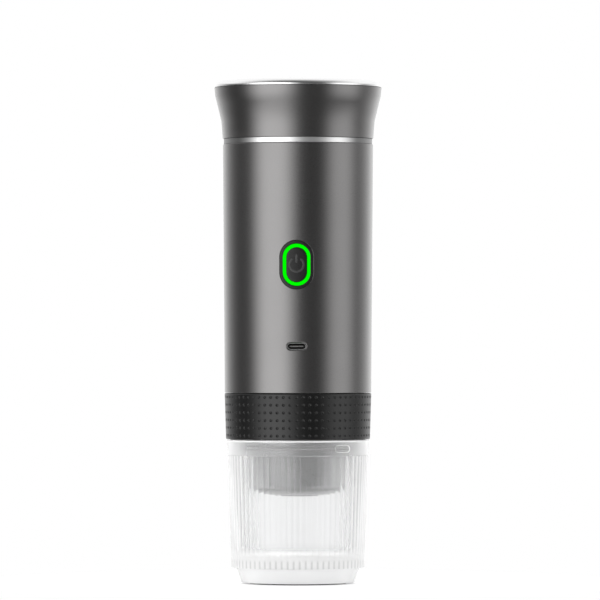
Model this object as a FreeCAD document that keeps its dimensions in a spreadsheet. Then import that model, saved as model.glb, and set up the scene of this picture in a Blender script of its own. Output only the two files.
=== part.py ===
import FreeCAD, Part

import math
import os
import re

import Sketcher
from fcgear import fcgear, involute

# Portable electric espresso maker, 80 mm across and 240 mm high, in millimetres.
# The origin is the middle of the base. +Z is up and the power button faces -Y.

V = FreeCAD.Vector

SIZES = {
    # How far a cutting tool runs past the face it opens
    "spare": 1.0,
    # Cup
    "foot_radius": 27.1,
    "foot_level": 0.6,
    "foot_hollow_radius": 22.0,
    "foot_hollow_top": 8.3,
    "foot_ring_outer": 23.4,
    "foot_ring_top": 1.6,
    "foot_ring_bevel": 0.3,
    "foot_top_radius": 29.5,
    "rib_foot": 7.8,
    "rib_foot_radius": 31.97,
    "rib_top_radius": 33.75,
    "rib_top": 61.3,
    "rib_depth": 0.15,
    "rib_count": 70,
    "cup_floor": 11.0,
    "cup_floor_round": 3.0,
    "cup_wall_foot": 28.6,
    "cup_wall_top": 31.0,
    "cup_neck_radius": 34.2,
    "cup_rim": 68.7,
    "socket_radius": 32.2,
    "pill_half_length": 2.75,
    "pill_radius": 1.5,
    "pill_level": 64.7,
    "pill_floor": 33.2,
    "pill_turn": 39.8,
    # Collar
    "skirt_foot": 61.5,
    "skirt_radius": 31.9,
    "skirt_bore": 28.9,
    "collar_shoulder": 69.0,
    "collar_lip": 69.2,
    "collar_floor": 72.0,
    "collar_radius": 33.0,
    "collar_bore": 30.0,
    "collar_hole": 24.3,
    "collar_top": 90.7,
    "oring_level": 65.2,
    "oring_ring_radius": 31.1,
    "oring_section": 1.0,
    "oring_groove_floor": 30.05,
    "oring_groove_half": 1.1,
    "grip_foot": 69.0,
    "grip_top": 90.9,
    "grip_foot_radius": 34.4,
    "grip_top_radius": 35.05,
    "grip_round": 0.5,
    "washer_inner": 24.6,
    "washer_outer": 29.6,
    "washer_top": 72.45,
    # Screw thread between collar and brewing group
    "thread_lead": 16.0,
    "thread_starts": 4,
    "thread_span": 80.0,
    "thread_width": 1.5,
    "thread_bevel": 0.25,
    "thread_root": 0.4,
    "male_thread_level": 80.5,
    "male_thread_radius": 29.7,
    "female_thread_shift": 1.75,
    "female_thread_radius": 28.5,
    # Brewing chamber
    "chamber_flange_foot": 72.6,
    "chamber_flange_top": 75.9,
    "chamber_flange_radius": 28.3,
    "chamber_radius": 24.0,
    "chamber_waist": 61.0,
    "chamber_low_radius": 22.9,
    "chamber_low_level": 46.9,
    "chamber_corner": 3.2,
    "chamber_dome_radius": 21.0,
    "chamber_dome_level": 44.3,
    "chamber_dome_bend": 24.8,
    "chamber_base": 42.2,
    "chamber_base_radius": 11.0,
    "chamber_bore": 22.0,
    "chamber_floor": 52.0,
    "chamber_floor_round": 2.5,
    "outlet_radius": 3.0,
    "seat_bore": 6.0,
    "seat_top": 50.5,
    "seat_foot": 48.5,
    "seat_hole": 1.6,
    "seat_land": 0.9,
    "seat_mouth": 2.7,
    "nozzle_foot": 41.7,
    "nozzle_head": 9.8,
    "nozzle_round": 0.9,
    "nozzle_hole": 1.2,
    "nozzle_floor": 43.2,
    "nozzle_bore": 4.4,
    "valve_disc_foot": 47.2,
    "valve_disc_top": 48.3,
    "valve_disc_radius": 3.6,
    "valve_stem_foot": 44.9,
    "valve_stem": 1.0,
    "valve_nose_wide": 2.3,
    "valve_nose_tip": 1.2,
    "valve_nose_top": 49.5,
    "valve_spring_radius": 2.6,
    "valve_spring_wire": 0.2,
    "valve_spring_foot": 43.45,
    "valve_spring_turns": 4.0,
    "valve_spring_pitch": 0.87,
    # Filter basket and shower
    "basket_foot": 55.5,
    "basket_floor": 56.3,
    "basket_radius": 21.6,
    "basket_wall": 0.6,
    "basket_round": 1.0,
    "basket_rim_radius": 24.8,
    "basket_rim_top": 76.7,
    "basket_hole": 0.6,
    "sieve_pitch": 5.6,
    "sieve_reach": 17.5,
    "shower_hole": 0.45,
    "shower_radius": 19.8,
    "shower_foot": 78.3,
    "shower_top": 79.0,
    "shower_screw_head": 3.0,
    "shower_screw_foot": 77.1,
    "shower_screw_shank": 1.0,
    "shower_screw_top": 85.0,
    "shower_slot_width": 0.8,
    "shower_slot_depth": 0.6,
    "gasket_foot": 76.9,
    "gasket_top": 79.8,
    "gasket_outer": 25.0,
    "gasket_inner": 20.2,
    # Group head
    "neck_foot": 76.4,
    "neck_radius": 28.2,
    "group_flange_foot": 91.3,
    "group_flange_top": 95.3,
    "group_flange_radius": 33.3,
    "water_space_radius": 18.5,
    "water_space_top": 80.8,
    "screw_boss": 3.5,
    "screw_hole_top": 86.0,
    "group_dish_radius": 25.5,
    "group_dish_floor": 88.5,
    "group_dish_rise": 1.5,
    "group_dish_slope": 4.0,
    "barb_radius": 1.5,
    "barb_bore": 0.8,
    "group_barb_top": 95.0,
    # Shells
    "shell_foot": 91.2,
    "shell_top": 209.7,
    "shell_foot_radius": 35.0,
    "shell_top_radius": 35.9,
    "shell_wall": 1.5,
    "slot_depth": 8.0,
    "ring_top": 212.5,
    "ring_radius": 35.45,
    "ring_edge": 0.35,
    "spigot_radius": 34.2,
    "spigot_wall": 1.0,
    "spigot_reach": 3.4,
    "flare_foot_radius": 36.0,
    "flare_bend": 53.5,
    "flare_knee": 16.5,
    "flare_brow": 29.0,
    "flare_top": 236.8,
    "overall_radius": 40.0,
    "mouth_top": 235.4,
    "mouth_rim_radius": 37.9,
    "mouth_rim_foot": 233.2,
    "mouth_radius": 34.3,
    "mouth_bore": 32.0,
    "mouth_foot": 226.2,
    # Tank and heater
    "tank_radius": 32.2,
    "tank_wall": 0.6,
    "tank_foot": 180.0,
    "tank_round": 3.0,
    "tank_top": 225.4,
    "tank_flange": 33.8,
    "tank_outlet_stem": 2.4,
    "tank_outlet_flange": 4.0,
    "tank_outlet_top": 181.4,
    "tank_barb_shoulder": 176.2,
    "tank_barb_foot": 171.0,
    "heater_radius": 26.0,
    "heater_foot": 176.5,
    "heater_hole": 2.8,
    "fuse_radius": 1.7,
    "fuse_length": 10.0,
    "fuse_forward": 9.0,
    "sensor_radius": 2.2,
    "sensor_height": 4.0,
    "sensor_side": 12.0,
    # Lid
    "lid_foot": 227.5,
    "plug_radius": 30.3,
    "plug_bevel": 1.0,
    "lid_dish_radius": 27.5,
    "lid_dish_floor": 229.5,
    "lid_dish_round": 1.5,
    "lid_flange_foot": 236.9,
    "lid_flange_top": 238.8,
    "lid_flange_radius": 37.5,
    "lid_seal_inner": 33.0,
    "lid_seal_outer": 36.0,
    "lid_seal_foot": 235.7,
    "lid_seal_top": 237.5,
    "lid_seal_play": 0.2,
    "bezel_foot": 237.0,
    "overall_height": 240.0,
    "bezel_inner": 36.6,
    "bezel_round": 2.6,
    "trim_top": 239.4,
    "bar_width": 9.0,
    "bar_reach": 28.2,
    "bar_top": 238.6,
    "lid_lead": 12.0,
    "lid_starts": 3,
    "lid_thread_span": 85.0,
    "lid_thread_level": 228.8,
    "lid_thread_radius": 31.7,
    "mouth_thread_radius": 30.6,
    "lid_thread_shift": 1.7,
    "lid_thread_width": 1.4,
    # Chassis and battery
    "tray_radius": 33.0,
    "low_tray_top": 99.3,
    "high_tray_foot": 164.8,
    "high_tray_top": 168.8,
    "cell_radius": 9.2,
    "cell_length": 65.0,
    "cell_foot": 99.5,
    "cell_orbit": 21.5,
    "cell_first_turn": 38.0,
    "cell_turn_step": 52.0,
    "cell_cap_radius": 3.0,
    "cell_cap_height": 0.6,
    "cell_bevel": 0.4,
    "socket_ring_bore": 9.3,
    "socket_ring_radius": 10.3,
    "socket_ring_height": 6.0,
    "strip_thickness": 0.2,
    "strip_width": 6.0,
    "strip_length": 24.0,
    "rod_radius": 2.0,
    "rod_orbit": 29.25,
    "rod_thread": 1.25,
    "rod_thread_depth": 11.0,
    "tray_screw_head": 2.3,
    "tray_screw_height": 1.6,
    "hose_pass": 3.2,
    "wire_pass": 3.6,
    "wire_pass_side": 14.0,
    "wire_pass_forward": 16.0,
    # Motor and pump
    "motor_forward": 7.5,
    "motor_radius": 12.1,
    "motor_wall": 0.8,
    "motor_foot": 115.0,
    "motor_top": 146.0,
    "motor_plate": 1.0,
    "shaft_radius": 1.5,
    "shaft_pass": 1.7,
    "shaft_foot": 100.6,
    "shaft_top": 147.4,
    "magnet_inner": 9.3,
    "magnet_foot": 119.0,
    "magnet_top": 139.0,
    "magnet_span": 140.0,
    "core_radius": 8.8,
    "core_foot": 120.0,
    "core_top": 138.0,
    "core_slot_width": 2.2,
    "core_slot_floor": 4.2,
    "core_slots": 5,
    "commutator_radius": 3.2,
    "commutator_foot": 139.5,
    "commutator_top": 143.2,
    "endcap_foot": 143.8,
    "endcap_top": 146.4,
    "endcap_boss": 3.6,
    "endcap_boss_top": 147.6,
    "terminal_side": 7.0,
    "terminal_width": 2.4,
    "terminal_thickness": 0.5,
    "terminal_top": 150.0,
    "gear_module": 0.8,
    "gear_teeth": 12,
    "gear_angle": 25.0,
    "gear_spacing": 9.75,
    "gear_foot": 101.6,
    "gear_top": 107.2,
    "pump_radius": 8.2,
    "pump_floor": 101.5,
    "pump_split": 107.3,
    "pump_pocket": 5.75,
    "pump_journal": 1.6,
    "journal_foot": 100.3,
    "journal_top": 109.0,
    "idler_pin_foot": 100.4,
    "idler_pin_top": 108.8,
    "pump_cover_step": 111.0,
    "port_level": 104.3,
    "port_reach": 10.0,
    "pump_screw_orbit": 6.9,
    "pump_screw_radius": 0.7,
    "pump_screw_head": 1.2,
    "pump_screw_head_foot": 99.4,
    "pump_screw_head_top": 100.5,
    "pump_screw_top": 110.0,
    # Hoses
    "hose_radius": 2.5,
    "hose_side": 16.5,
    "hose_bend": 6.5,
    "hose_port_end": 8.4,
    "inlet_hose_top": 176.0,
    "outlet_hose_foot": 89.3,
    # Electronics
    "board_half_width": 18.0,
    "board_front": 24.6,
    "board_back": 23.0,
    "usb_level": 113.3,
    "usb_half_length": 2.87,
    "usb_radius": 1.6,
    "usb_opening": 1.28,
    "usb_opening_half": 2.89,
    "usb_front": 33.6,
    "usb_back": 27.0,
    "usb_slot_radius": 1.7,
    "usb_bevel_depth": 0.4,
    "usb_shell_radius": 35.17,
    "tongue_half_width": 3.35,
    "tongue_thickness": 0.7,
    "tongue_front": 33.0,
    "switch_half": 3.0,
    "switch_front": 28.2,
    "switch_well": 0.9,
    "switch_hole": 1.9,
    "led_size": 1.6,
    "led_height": 0.8,
    # Button
    "button_level": 151.9,
    "button_straight": 3.6,
    "bezel_ring_radius": 8.0,
    "bezel_proud": 0.25,
    "bezel_back": 31.0,
    "bezel_lip_radius": 9.0,
    "bezel_lip_front": 32.3,
    "light_outer": 6.5,
    "light_inner": 5.08,
    "light_straight": 3.35,
    "light_proud": 0.15,
    "light_back": 26.0,
    "cap_radius": 4.9,
    "cap_back": 31.6,
    "cap_sunk": 0.25,
    "icon_radius": 3.85,
    "icon_stroke": 1.05,
    "icon_gap": 3.4,
    "icon_bar_foot": 0.8,
    "icon_bar_top": 4.9,
    "icon_back": 34.6,
    "icon_sunk": 0.2,
    "plunger_radius": 1.7,
    "plunger_back": 27.8,
}

# Degrees, outward from the slot's wall
USB_BEVEL_ANGLE = 45

# Where the tie rods stand, in degrees about the axis: at the front corners and between the cells
ROD_TURNS = (-20.0, 64.0, 116.0, 200.0)

# On the board's front: width, depth, height, left edge and foot
FRONT_PARTS = {
    "control_chip": (8.0, 1.2, 8.0, -11.0, 123.0),
    "charge_chip": (5.0, 1.0, 5.0, 6.0, 122.0),
    "coil": (6.5, 3.0, 6.5, -15.0, 136.0),
    "motor_plug": (7.5, 4.5, 4.0, 9.0, 158.0),
    "battery_plug": (7.5, 4.5, 4.0, -16.5, 158.0),
}

# On the board's back: radius, height, middle and level of each round capacitor
CAPACITORS = {
    "left_capacitor": (3.0, 5.5, -9.0, 156.0),
    "right_capacitor": (3.0, 5.5, 0.0, 156.0),
}

doc = FreeCAD.newDocument("espresso_maker")
sheet = doc.addObject("Spreadsheet::Sheet", "dims")
for row, (alias, value) in enumerate(SIZES.items(), start=1):
    sheet.set("A%d" % row, alias)
    sheet.set("B%d" % row, str(value))
    sheet.setAlias("B%d" % row, alias)
doc.recompute()


def bound(expression):
    """The expression as another object reads it from the sheet."""
    return re.sub(
        r"[A-Za-z_]\w*",
        lambda word: "dims." + word.group(0) if word.group(0) in SIZES else word.group(0),
        expression,
    )


def size(expression):
    """The value of an expression of named sizes."""
    return float(sheet.evalExpression(expression))


def bind(item, **expressions):
    for name, expression in expressions.items():
        item.setExpression(name.replace("__", "."), bound(expression))
    return item


def place(item, x="0", y="0", z="0", axis="Z", turn=0.0):
    """Put a primitive at a point, its own Z along the named axis, turned about the vertical."""
    tilt = {
        "Z": FreeCAD.Rotation(),
        "X": FreeCAD.Rotation(V(0, 1, 0), 90),
        "Y": FreeCAD.Rotation(V(1, 0, 0), -90),
    }[axis]
    item.Placement = FreeCAD.Placement(V(0, 0, 0), FreeCAD.Rotation(V(0, 0, 1), turn) * tilt)
    item.setExpression("Placement.Base.x", bound(x))
    item.setExpression("Placement.Base.y", bound(y))
    item.setExpression("Placement.Base.z", bound(z))
    return item


def cylinder(name, radius, height, x="0", y="0", z="0", axis="Z"):
    item = bind(doc.addObject("Part::Cylinder", name), Radius=radius, Height=height)
    return place(item, x, y, z, axis)


def block(name, length, width, height, x="0", y="0", z="0", turn=0.0):
    """A box with its corner at the point."""
    item = bind(doc.addObject("Part::Box", name), Length=length, Width=width, Height=height)
    return place(item, x, y, z, "Z", turn)


def cone(name, low_radius, high_radius, height, z):
    item = bind(doc.addObject("Part::Cone", name), Radius1=low_radius, Radius2=high_radius, Height=height)
    return place(item, z=z)


def group(name, items):
    result = doc.addObject("Part::Compound", name)
    result.Links = items
    return result


def fuse(name, items):
    result = doc.addObject("Part::MultiFuse", name)
    result.Shapes = items
    result.Refine = True
    return result


def cut(name, base, tools):
    """The base with every tool taken away. The tools may cross one another."""
    result = doc.addObject("Part::Cut", name)
    result.Base = base
    result.Tool = tools[0] if len(tools) == 1 else fuse(name + "_tools", tools)
    result.Refine = True
    return result


def common(name, base, tool):
    result = doc.addObject("Part::Common", name)
    result.Base = base
    result.Tool = tool
    return result


def origin_plane(body, role):
    return [feature for feature in body.Origin.OriginFeatures if feature.Role == role][0]


def sketch_on_front(body, name, back="0"):
    """A sketch whose x is the model's X and whose y is the model's Z, seen from the front."""
    sketch = body.newObject("Sketcher::SketchObject", name)
    sketch.AttachmentSupport = (origin_plane(body, "XZ_Plane"), [""])
    sketch.MapMode = "FlatFace"
    sketch.setExpression("AttachmentOffset.Base.z", bound(back))
    return sketch


def constrain(sketch, kind, geometry, point, expression):
    """Hold a point's distance from the sketch's axis at a named size."""
    if expression == "0":
        axis = -2 if kind == "DistanceX" else -1
        sketch.addConstraint(Sketcher.Constraint("PointOnObject", geometry, point, axis))
        return
    rule = Sketcher.Constraint(kind, -1, 1, geometry, point, size(expression))
    sketch.setExpression("Constraints[%d]" % sketch.addConstraint(rule), bound(expression))


def draw_outline(sketch, outline):
    """Closed outline of (radius, level) corners. A third entry makes the side that leaves the corner
    an arc of that radius, with its centre on the left of the way when it is positive."""
    corners = [V(size(corner[0]), size(corner[1]), 0) for corner in outline]
    ends = []
    for index, corner in enumerate(outline):
        start = corners[index]
        stop = corners[(index + 1) % len(corners)]
        if len(corner) == 2:
            geometry = sketch.addGeometry(Part.LineSegment(start, stop))
            ends.append((geometry, 1, 2))
            continue
        bend = size(corner[2])
        way = stop - start
        left = V(-way.y, way.x, 0).normalize()
        rise = math.sqrt(bend ** 2 - (way.Length / 2) ** 2)
        centre = (start + stop) / 2 + left * math.copysign(rise, bend)
        first, last = (start, stop) if bend > 0 else (stop, start)
        from_angle = math.atan2(first.y - centre.y, first.x - centre.x)
        to_angle = math.atan2(last.y - centre.y, last.x - centre.x)
        if to_angle < from_angle:
            to_angle += 2 * math.pi
        circle = Part.Circle(centre, V(0, 0, 1), abs(bend))
        geometry = sketch.addGeometry(Part.ArcOfCircle(circle, from_angle, to_angle))
        ends.append((geometry, 1, 2) if bend > 0 else (geometry, 2, 1))
    for index, corner in enumerate(outline):
        geometry, start_point, stop_point = ends[index]
        following = ends[(index + 1) % len(ends)]
        constrain(sketch, "DistanceX", geometry, start_point, corner[0])
        constrain(sketch, "DistanceY", geometry, start_point, corner[1])
        meet = Sketcher.Constraint("Coincident", geometry, stop_point, following[0], following[1])
        sketch.addConstraint(meet)
        if len(corner) == 3:
            rule = Sketcher.Constraint("Radius", geometry, abs(size(corner[2])))
            rule_index = sketch.addConstraint(rule)
            sketch.setExpression("Constraints[%d]" % rule_index, bound("abs(%s)" % corner[2]))


def turned(name, outline, angle="360"):
    """A body turned about the vertical axis."""
    body = doc.addObject("PartDesign::Body", name)
    sketch = sketch_on_front(body, name + "_outline")
    draw_outline(sketch, outline)
    turn = body.newObject("PartDesign::Revolution", name + "_turn")
    turn.Profile = sketch
    turn.ReferenceAxis = (sketch, ["V_Axis"])
    turn.setExpression("Angle", bound(angle))
    return body


def add_thread(body, outline, lead, span, starts):
    """Short screw ridges round a turned body, all on one right-hand helix."""
    sketch = sketch_on_front(body, body.Name + "_ridge_outline")
    draw_outline(sketch, outline)
    ridge = body.newObject("PartDesign::AdditiveHelix", body.Name + "_ridge")
    ridge.Profile = sketch
    ridge.ReferenceAxis = (sketch, ["V_Axis"])
    ridge.Mode = 0
    ridge.LeftHanded = False
    bind(ridge, Pitch=lead, Height="%s * %s / 360" % (lead, span))
    pattern = body.newObject("PartDesign::PolarPattern", body.Name + "_ridges")
    pattern.Originals = [ridge]
    pattern.Axis = (sketch, ["V_Axis"])
    pattern.Angle = 360
    pattern.setExpression("Occurrences", bound(starts))
    body.Tip = pattern
    return body


def stadium(name, straight, radius, level, back, depth, upright=False, taper=None):
    """A front-facing slab with round ends, from the back plane towards the front."""
    body = doc.addObject("PartDesign::Body", name)
    sketch = sketch_on_front(body, name + "_outline", back)
    half = size(straight)
    end = size(radius)
    middle = size(level)
    along = V(0, 1, 0) if upright else V(1, 0, 0)
    across = V(1, 0, 0) if upright else V(0, -1, 0)
    mid_point = V(0, middle, 0)
    turn = 0.0 if upright else -math.pi / 2
    far_circle = Part.Circle(mid_point + along * half, V(0, 0, 1), end)
    near_circle = Part.Circle(mid_point - along * half, V(0, 0, 1), end)
    far = sketch.addGeometry(Part.ArcOfCircle(far_circle, turn, turn + math.pi))
    near = sketch.addGeometry(Part.ArcOfCircle(near_circle, turn + math.pi, turn + 2 * math.pi))
    right_side = [mid_point + across * end - along * half, mid_point + across * end + along * half]
    left_side = [mid_point - across * end + along * half, mid_point - across * end - along * half]
    right = sketch.addGeometry(Part.LineSegment(*right_side))
    left = sketch.addGeometry(Part.LineSegment(*left_side))
    for first, first_point, second, second_point in (
        (right, 2, far, 1),
        (far, 2, left, 1),
        (left, 2, near, 1),
        (near, 2, right, 1),
    ):
        rule = Sketcher.Constraint("Tangent", first, first_point, second, second_point)
        sketch.addConstraint(rule)
    if upright:
        constrain(sketch, "DistanceX", far, 3, "0")
        constrain(sketch, "DistanceX", near, 3, "0")
        constrain(sketch, "DistanceY", far, 3, "%s + %s" % (level, straight))
        constrain(sketch, "DistanceY", near, 3, "%s - %s" % (level, straight))
    else:
        constrain(sketch, "DistanceX", far, 3, straight)
        constrain(sketch, "DistanceX", near, 3, "-%s" % straight)
        constrain(sketch, "DistanceY", far, 3, level)
        constrain(sketch, "DistanceY", near, 3, level)
    rule_index = sketch.addConstraint(Sketcher.Constraint("Radius", far, end))
    sketch.setExpression("Constraints[%d]" % rule_index, bound(radius))
    pad = body.newObject("PartDesign::Pad", name + "_pad")
    pad.Profile = sketch
    bind(pad, Length=depth)
    if taper is not None:
        pad.TaperAngle = taper
    return body


def shell_cone(name, growth):
    """The main shell's outer cone, made larger or smaller all round."""
    return cone(
        name,
        "shell_foot_radius + " + growth,
        "shell_top_radius + " + growth,
        "shell_top - shell_foot",
        "shell_foot",
    )


def sieve_places():
    """Hole centres of a round sieve, on a triangular grid, without the middle one."""
    pitch = SIZES["sieve_pitch"]
    reach = SIZES["sieve_reach"]
    places = []
    for line in range(-4, 5):
        for step in range(-4, 5):
            x = pitch * (step + line / 2)
            y = pitch * line * math.sqrt(3) / 2
            if 0.1 < math.hypot(x, y) < reach:
                places.append(("%.4f" % x, "%.4f" % y))
    return places


def make_cup():
    foot_ring = turned("cup_foot_ring", [
        ("foot_hollow_radius + foot_ring_bevel", "0"),
        ("foot_ring_outer - foot_ring_bevel", "0"),
        ("foot_ring_outer", "foot_ring_bevel"),
        ("foot_ring_outer", "foot_ring_top"),
        ("foot_hollow_radius", "foot_ring_top"),
        ("foot_hollow_radius", "foot_ring_bevel"),
    ])
    foot = turned("cup_foot", [
        ("0", "foot_level"),
        ("foot_radius", "foot_level"),
        ("foot_top_radius", "rib_foot"),
        ("0", "rib_foot"),
    ])
    neck = turned("cup_neck", [
        ("0", "rib_top"),
        ("cup_neck_radius", "rib_top"),
        ("cup_neck_radius", "cup_rim"),
        ("0", "cup_rim"),
    ])
    ribs = doc.addObject("Part::Feature", "cup_ribs")
    ribs.Shape = Part.makeLoft([
        rib_wire(size("rib_foot_radius"), size("rib_foot")),
        rib_wire(size("rib_top_radius"), size("rib_top")),
    ], True, True)
    cavity = turned("cup_cavity", [
        ("0", "cup_floor"),
        ("cup_wall_foot - cup_floor_round", "cup_floor", "cup_floor_round"),
        ("cup_wall_foot", "cup_floor + cup_floor_round"),
        ("cup_wall_top", "rib_top"),
        ("socket_radius", "rib_top"),
        ("socket_radius", "cup_rim + spare"),
        ("0", "cup_rim + spare"),
    ])
    hollow = turned("cup_foot_hollow", [
        ("0", "0"),
        ("foot_hollow_radius", "0"),
        ("foot_hollow_radius", "foot_hollow_top"),
        ("0", "foot_hollow_top"),
    ])
    pills = []
    for index in range(2):
        pill = stadium("cup_pill_%d" % index, "pill_half_length", "pill_radius", "pill_level",
                       "pill_floor", "3 * spare")
        turn = SIZES["pill_turn"] + 180 * index
        pill.Placement = FreeCAD.Placement(V(0, 0, 0), FreeCAD.Rotation(V(0, 0, 1), turn))
        pills.append(pill)
    outside = fuse("cup_outside", [foot, ribs, neck])
    cut("cup_body", outside, [cavity, hollow, foot_ring] + pills)


def rib_wire(crest, level):
    """Round-backed ribs, side by side, with narrow valleys between them."""
    count = int(SIZES["rib_count"])
    valley = crest - size("rib_depth")
    edges = []
    for index in range(count):
        middle = 2 * math.pi * index / count - math.pi / 2
        step = math.pi / count
        start = V(valley * math.cos(middle - step), valley * math.sin(middle - step), level)
        top = V(crest * math.cos(middle), crest * math.sin(middle), level)
        stop = V(valley * math.cos(middle + step), valley * math.sin(middle + step), level)
        edges.append(Part.Arc(start, top, stop).toShape())
    return Part.Wire(edges)


def make_collar():
    collar = turned("collar_body", [
        ("collar_hole", "collar_shoulder"),
        ("skirt_bore", "collar_shoulder"),
        ("skirt_bore", "skirt_foot"),
        ("skirt_radius", "skirt_foot"),
        ("skirt_radius", "oring_level - oring_groove_half"),
        ("oring_groove_floor", "oring_level - oring_groove_half"),
        ("oring_groove_floor", "oring_level + oring_groove_half"),
        ("skirt_radius", "oring_level + oring_groove_half"),
        ("skirt_radius", "collar_lip"),
        ("collar_radius", "collar_lip"),
        ("collar_radius", "collar_top"),
        ("collar_bore", "collar_top"),
        ("collar_bore", "collar_floor"),
        ("collar_hole", "collar_floor"),
    ])
    low = "male_thread_level + female_thread_shift"
    add_thread(collar, [
        ("female_thread_radius", low + " + thread_bevel"),
        ("collar_bore + thread_root", low),
        ("collar_bore + thread_root", low + " + thread_width"),
        ("female_thread_radius", low + " + thread_width - thread_bevel"),
    ], "thread_lead", "thread_span", "thread_starts")
    turned("grip_sleeve", [
        ("collar_radius", "grip_foot"),
        ("grip_foot_radius - grip_round", "grip_foot", "grip_round"),
        ("grip_foot_radius", "grip_foot + grip_round"),
        ("grip_top_radius", "grip_top - grip_round", "grip_round"),
        ("grip_top_radius - grip_round", "grip_top"),
        ("collar_radius", "grip_top"),
    ])
    oring = doc.addObject("Part::Torus", "cup_oring")
    bind(oring, Radius1="oring_ring_radius", Radius2="oring_section")
    place(oring, z="oring_level")
    turned("thrust_washer", [
        ("washer_inner", "collar_floor"),
        ("washer_outer", "collar_floor"),
        ("washer_outer", "washer_top"),
        ("washer_inner", "washer_top"),
    ])


def make_chamber():
    turned("chamber_body", [
        ("seat_bore", "chamber_base"),
        ("chamber_base_radius", "chamber_base", "chamber_dome_bend"),
        ("chamber_dome_radius", "chamber_dome_level", "chamber_corner"),
        ("chamber_low_radius", "chamber_low_level"),
        ("chamber_radius", "chamber_waist"),
        ("chamber_radius", "chamber_flange_foot"),
        ("chamber_flange_radius", "chamber_flange_foot"),
        ("chamber_flange_radius", "chamber_flange_top"),
        ("chamber_bore", "chamber_flange_top"),
        ("chamber_bore", "chamber_floor + chamber_floor_round", "-chamber_floor_round"),
        ("chamber_bore - chamber_floor_round", "chamber_floor"),
        ("outlet_radius", "chamber_floor"),
        ("outlet_radius", "seat_top"),
        ("seat_bore", "seat_top"),
    ])
    turned("valve_seat", [
        ("seat_mouth", "seat_foot"),
        ("seat_bore", "seat_foot"),
        ("seat_bore", "seat_top"),
        ("seat_hole", "seat_top"),
        ("seat_hole", "seat_top - seat_land"),
    ])
    turned("outlet_nozzle", [
        ("nozzle_hole", "nozzle_foot"),
        ("nozzle_head - nozzle_round", "nozzle_foot", "nozzle_round"),
        ("nozzle_head", "chamber_base"),
        ("seat_bore", "chamber_base"),
        ("seat_bore", "seat_foot"),
        ("nozzle_bore", "seat_foot"),
        ("nozzle_bore", "nozzle_floor"),
        ("nozzle_hole", "nozzle_floor"),
    ])
    turned("crema_valve", [
        ("0", "valve_stem_foot"),
        ("valve_stem", "valve_stem_foot"),
        ("valve_stem", "valve_disc_foot"),
        ("valve_disc_radius", "valve_disc_foot"),
        ("valve_disc_radius", "valve_disc_top"),
        ("valve_nose_wide", "valve_disc_top"),
        ("valve_nose_tip", "valve_nose_top"),
        ("0", "valve_nose_top"),
    ])
    make_valve_spring()
    basket = turned("basket_cup", [
        ("0", "basket_foot"),
        ("basket_radius - basket_round", "basket_foot", "basket_round"),
        ("basket_radius", "basket_foot + basket_round"),
        ("basket_radius", "chamber_flange_top"),
        ("basket_rim_radius", "chamber_flange_top"),
        ("basket_rim_radius", "basket_rim_top"),
        ("basket_radius - basket_wall", "basket_rim_top"),
        ("basket_radius - basket_wall", "basket_floor"),
        ("0", "basket_floor"),
    ])
    holes = [
        cylinder("basket_hole_%d" % index, "basket_hole", "3 * spare", x, y, "basket_foot - spare")
        for index, (x, y) in enumerate(sieve_places())
    ]
    cut("filter_basket", basket, [group("basket_holes", holes)])


def make_valve_spring():
    body = doc.addObject("PartDesign::Body", "valve_spring")
    sketch = sketch_on_front(body, "valve_spring_wire_outline")
    centre = V(size("valve_spring_radius"), size("valve_spring_foot"), 0)
    wire = sketch.addGeometry(Part.Circle(centre, V(0, 0, 1), size("valve_spring_wire")))
    constrain(sketch, "DistanceX", wire, 3, "valve_spring_radius")
    constrain(sketch, "DistanceY", wire, 3, "valve_spring_foot")
    rule = Sketcher.Constraint("Radius", wire, size("valve_spring_wire"))
    sketch.setExpression("Constraints[%d]" % sketch.addConstraint(rule), bound("valve_spring_wire"))
    coil = body.newObject("PartDesign::AdditiveHelix", "valve_spring_coil")
    coil.Profile = sketch
    coil.ReferenceAxis = (sketch, ["V_Axis"])
    coil.Mode = 0
    bind(coil, Pitch="valve_spring_pitch", Height="valve_spring_pitch * valve_spring_turns")


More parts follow.
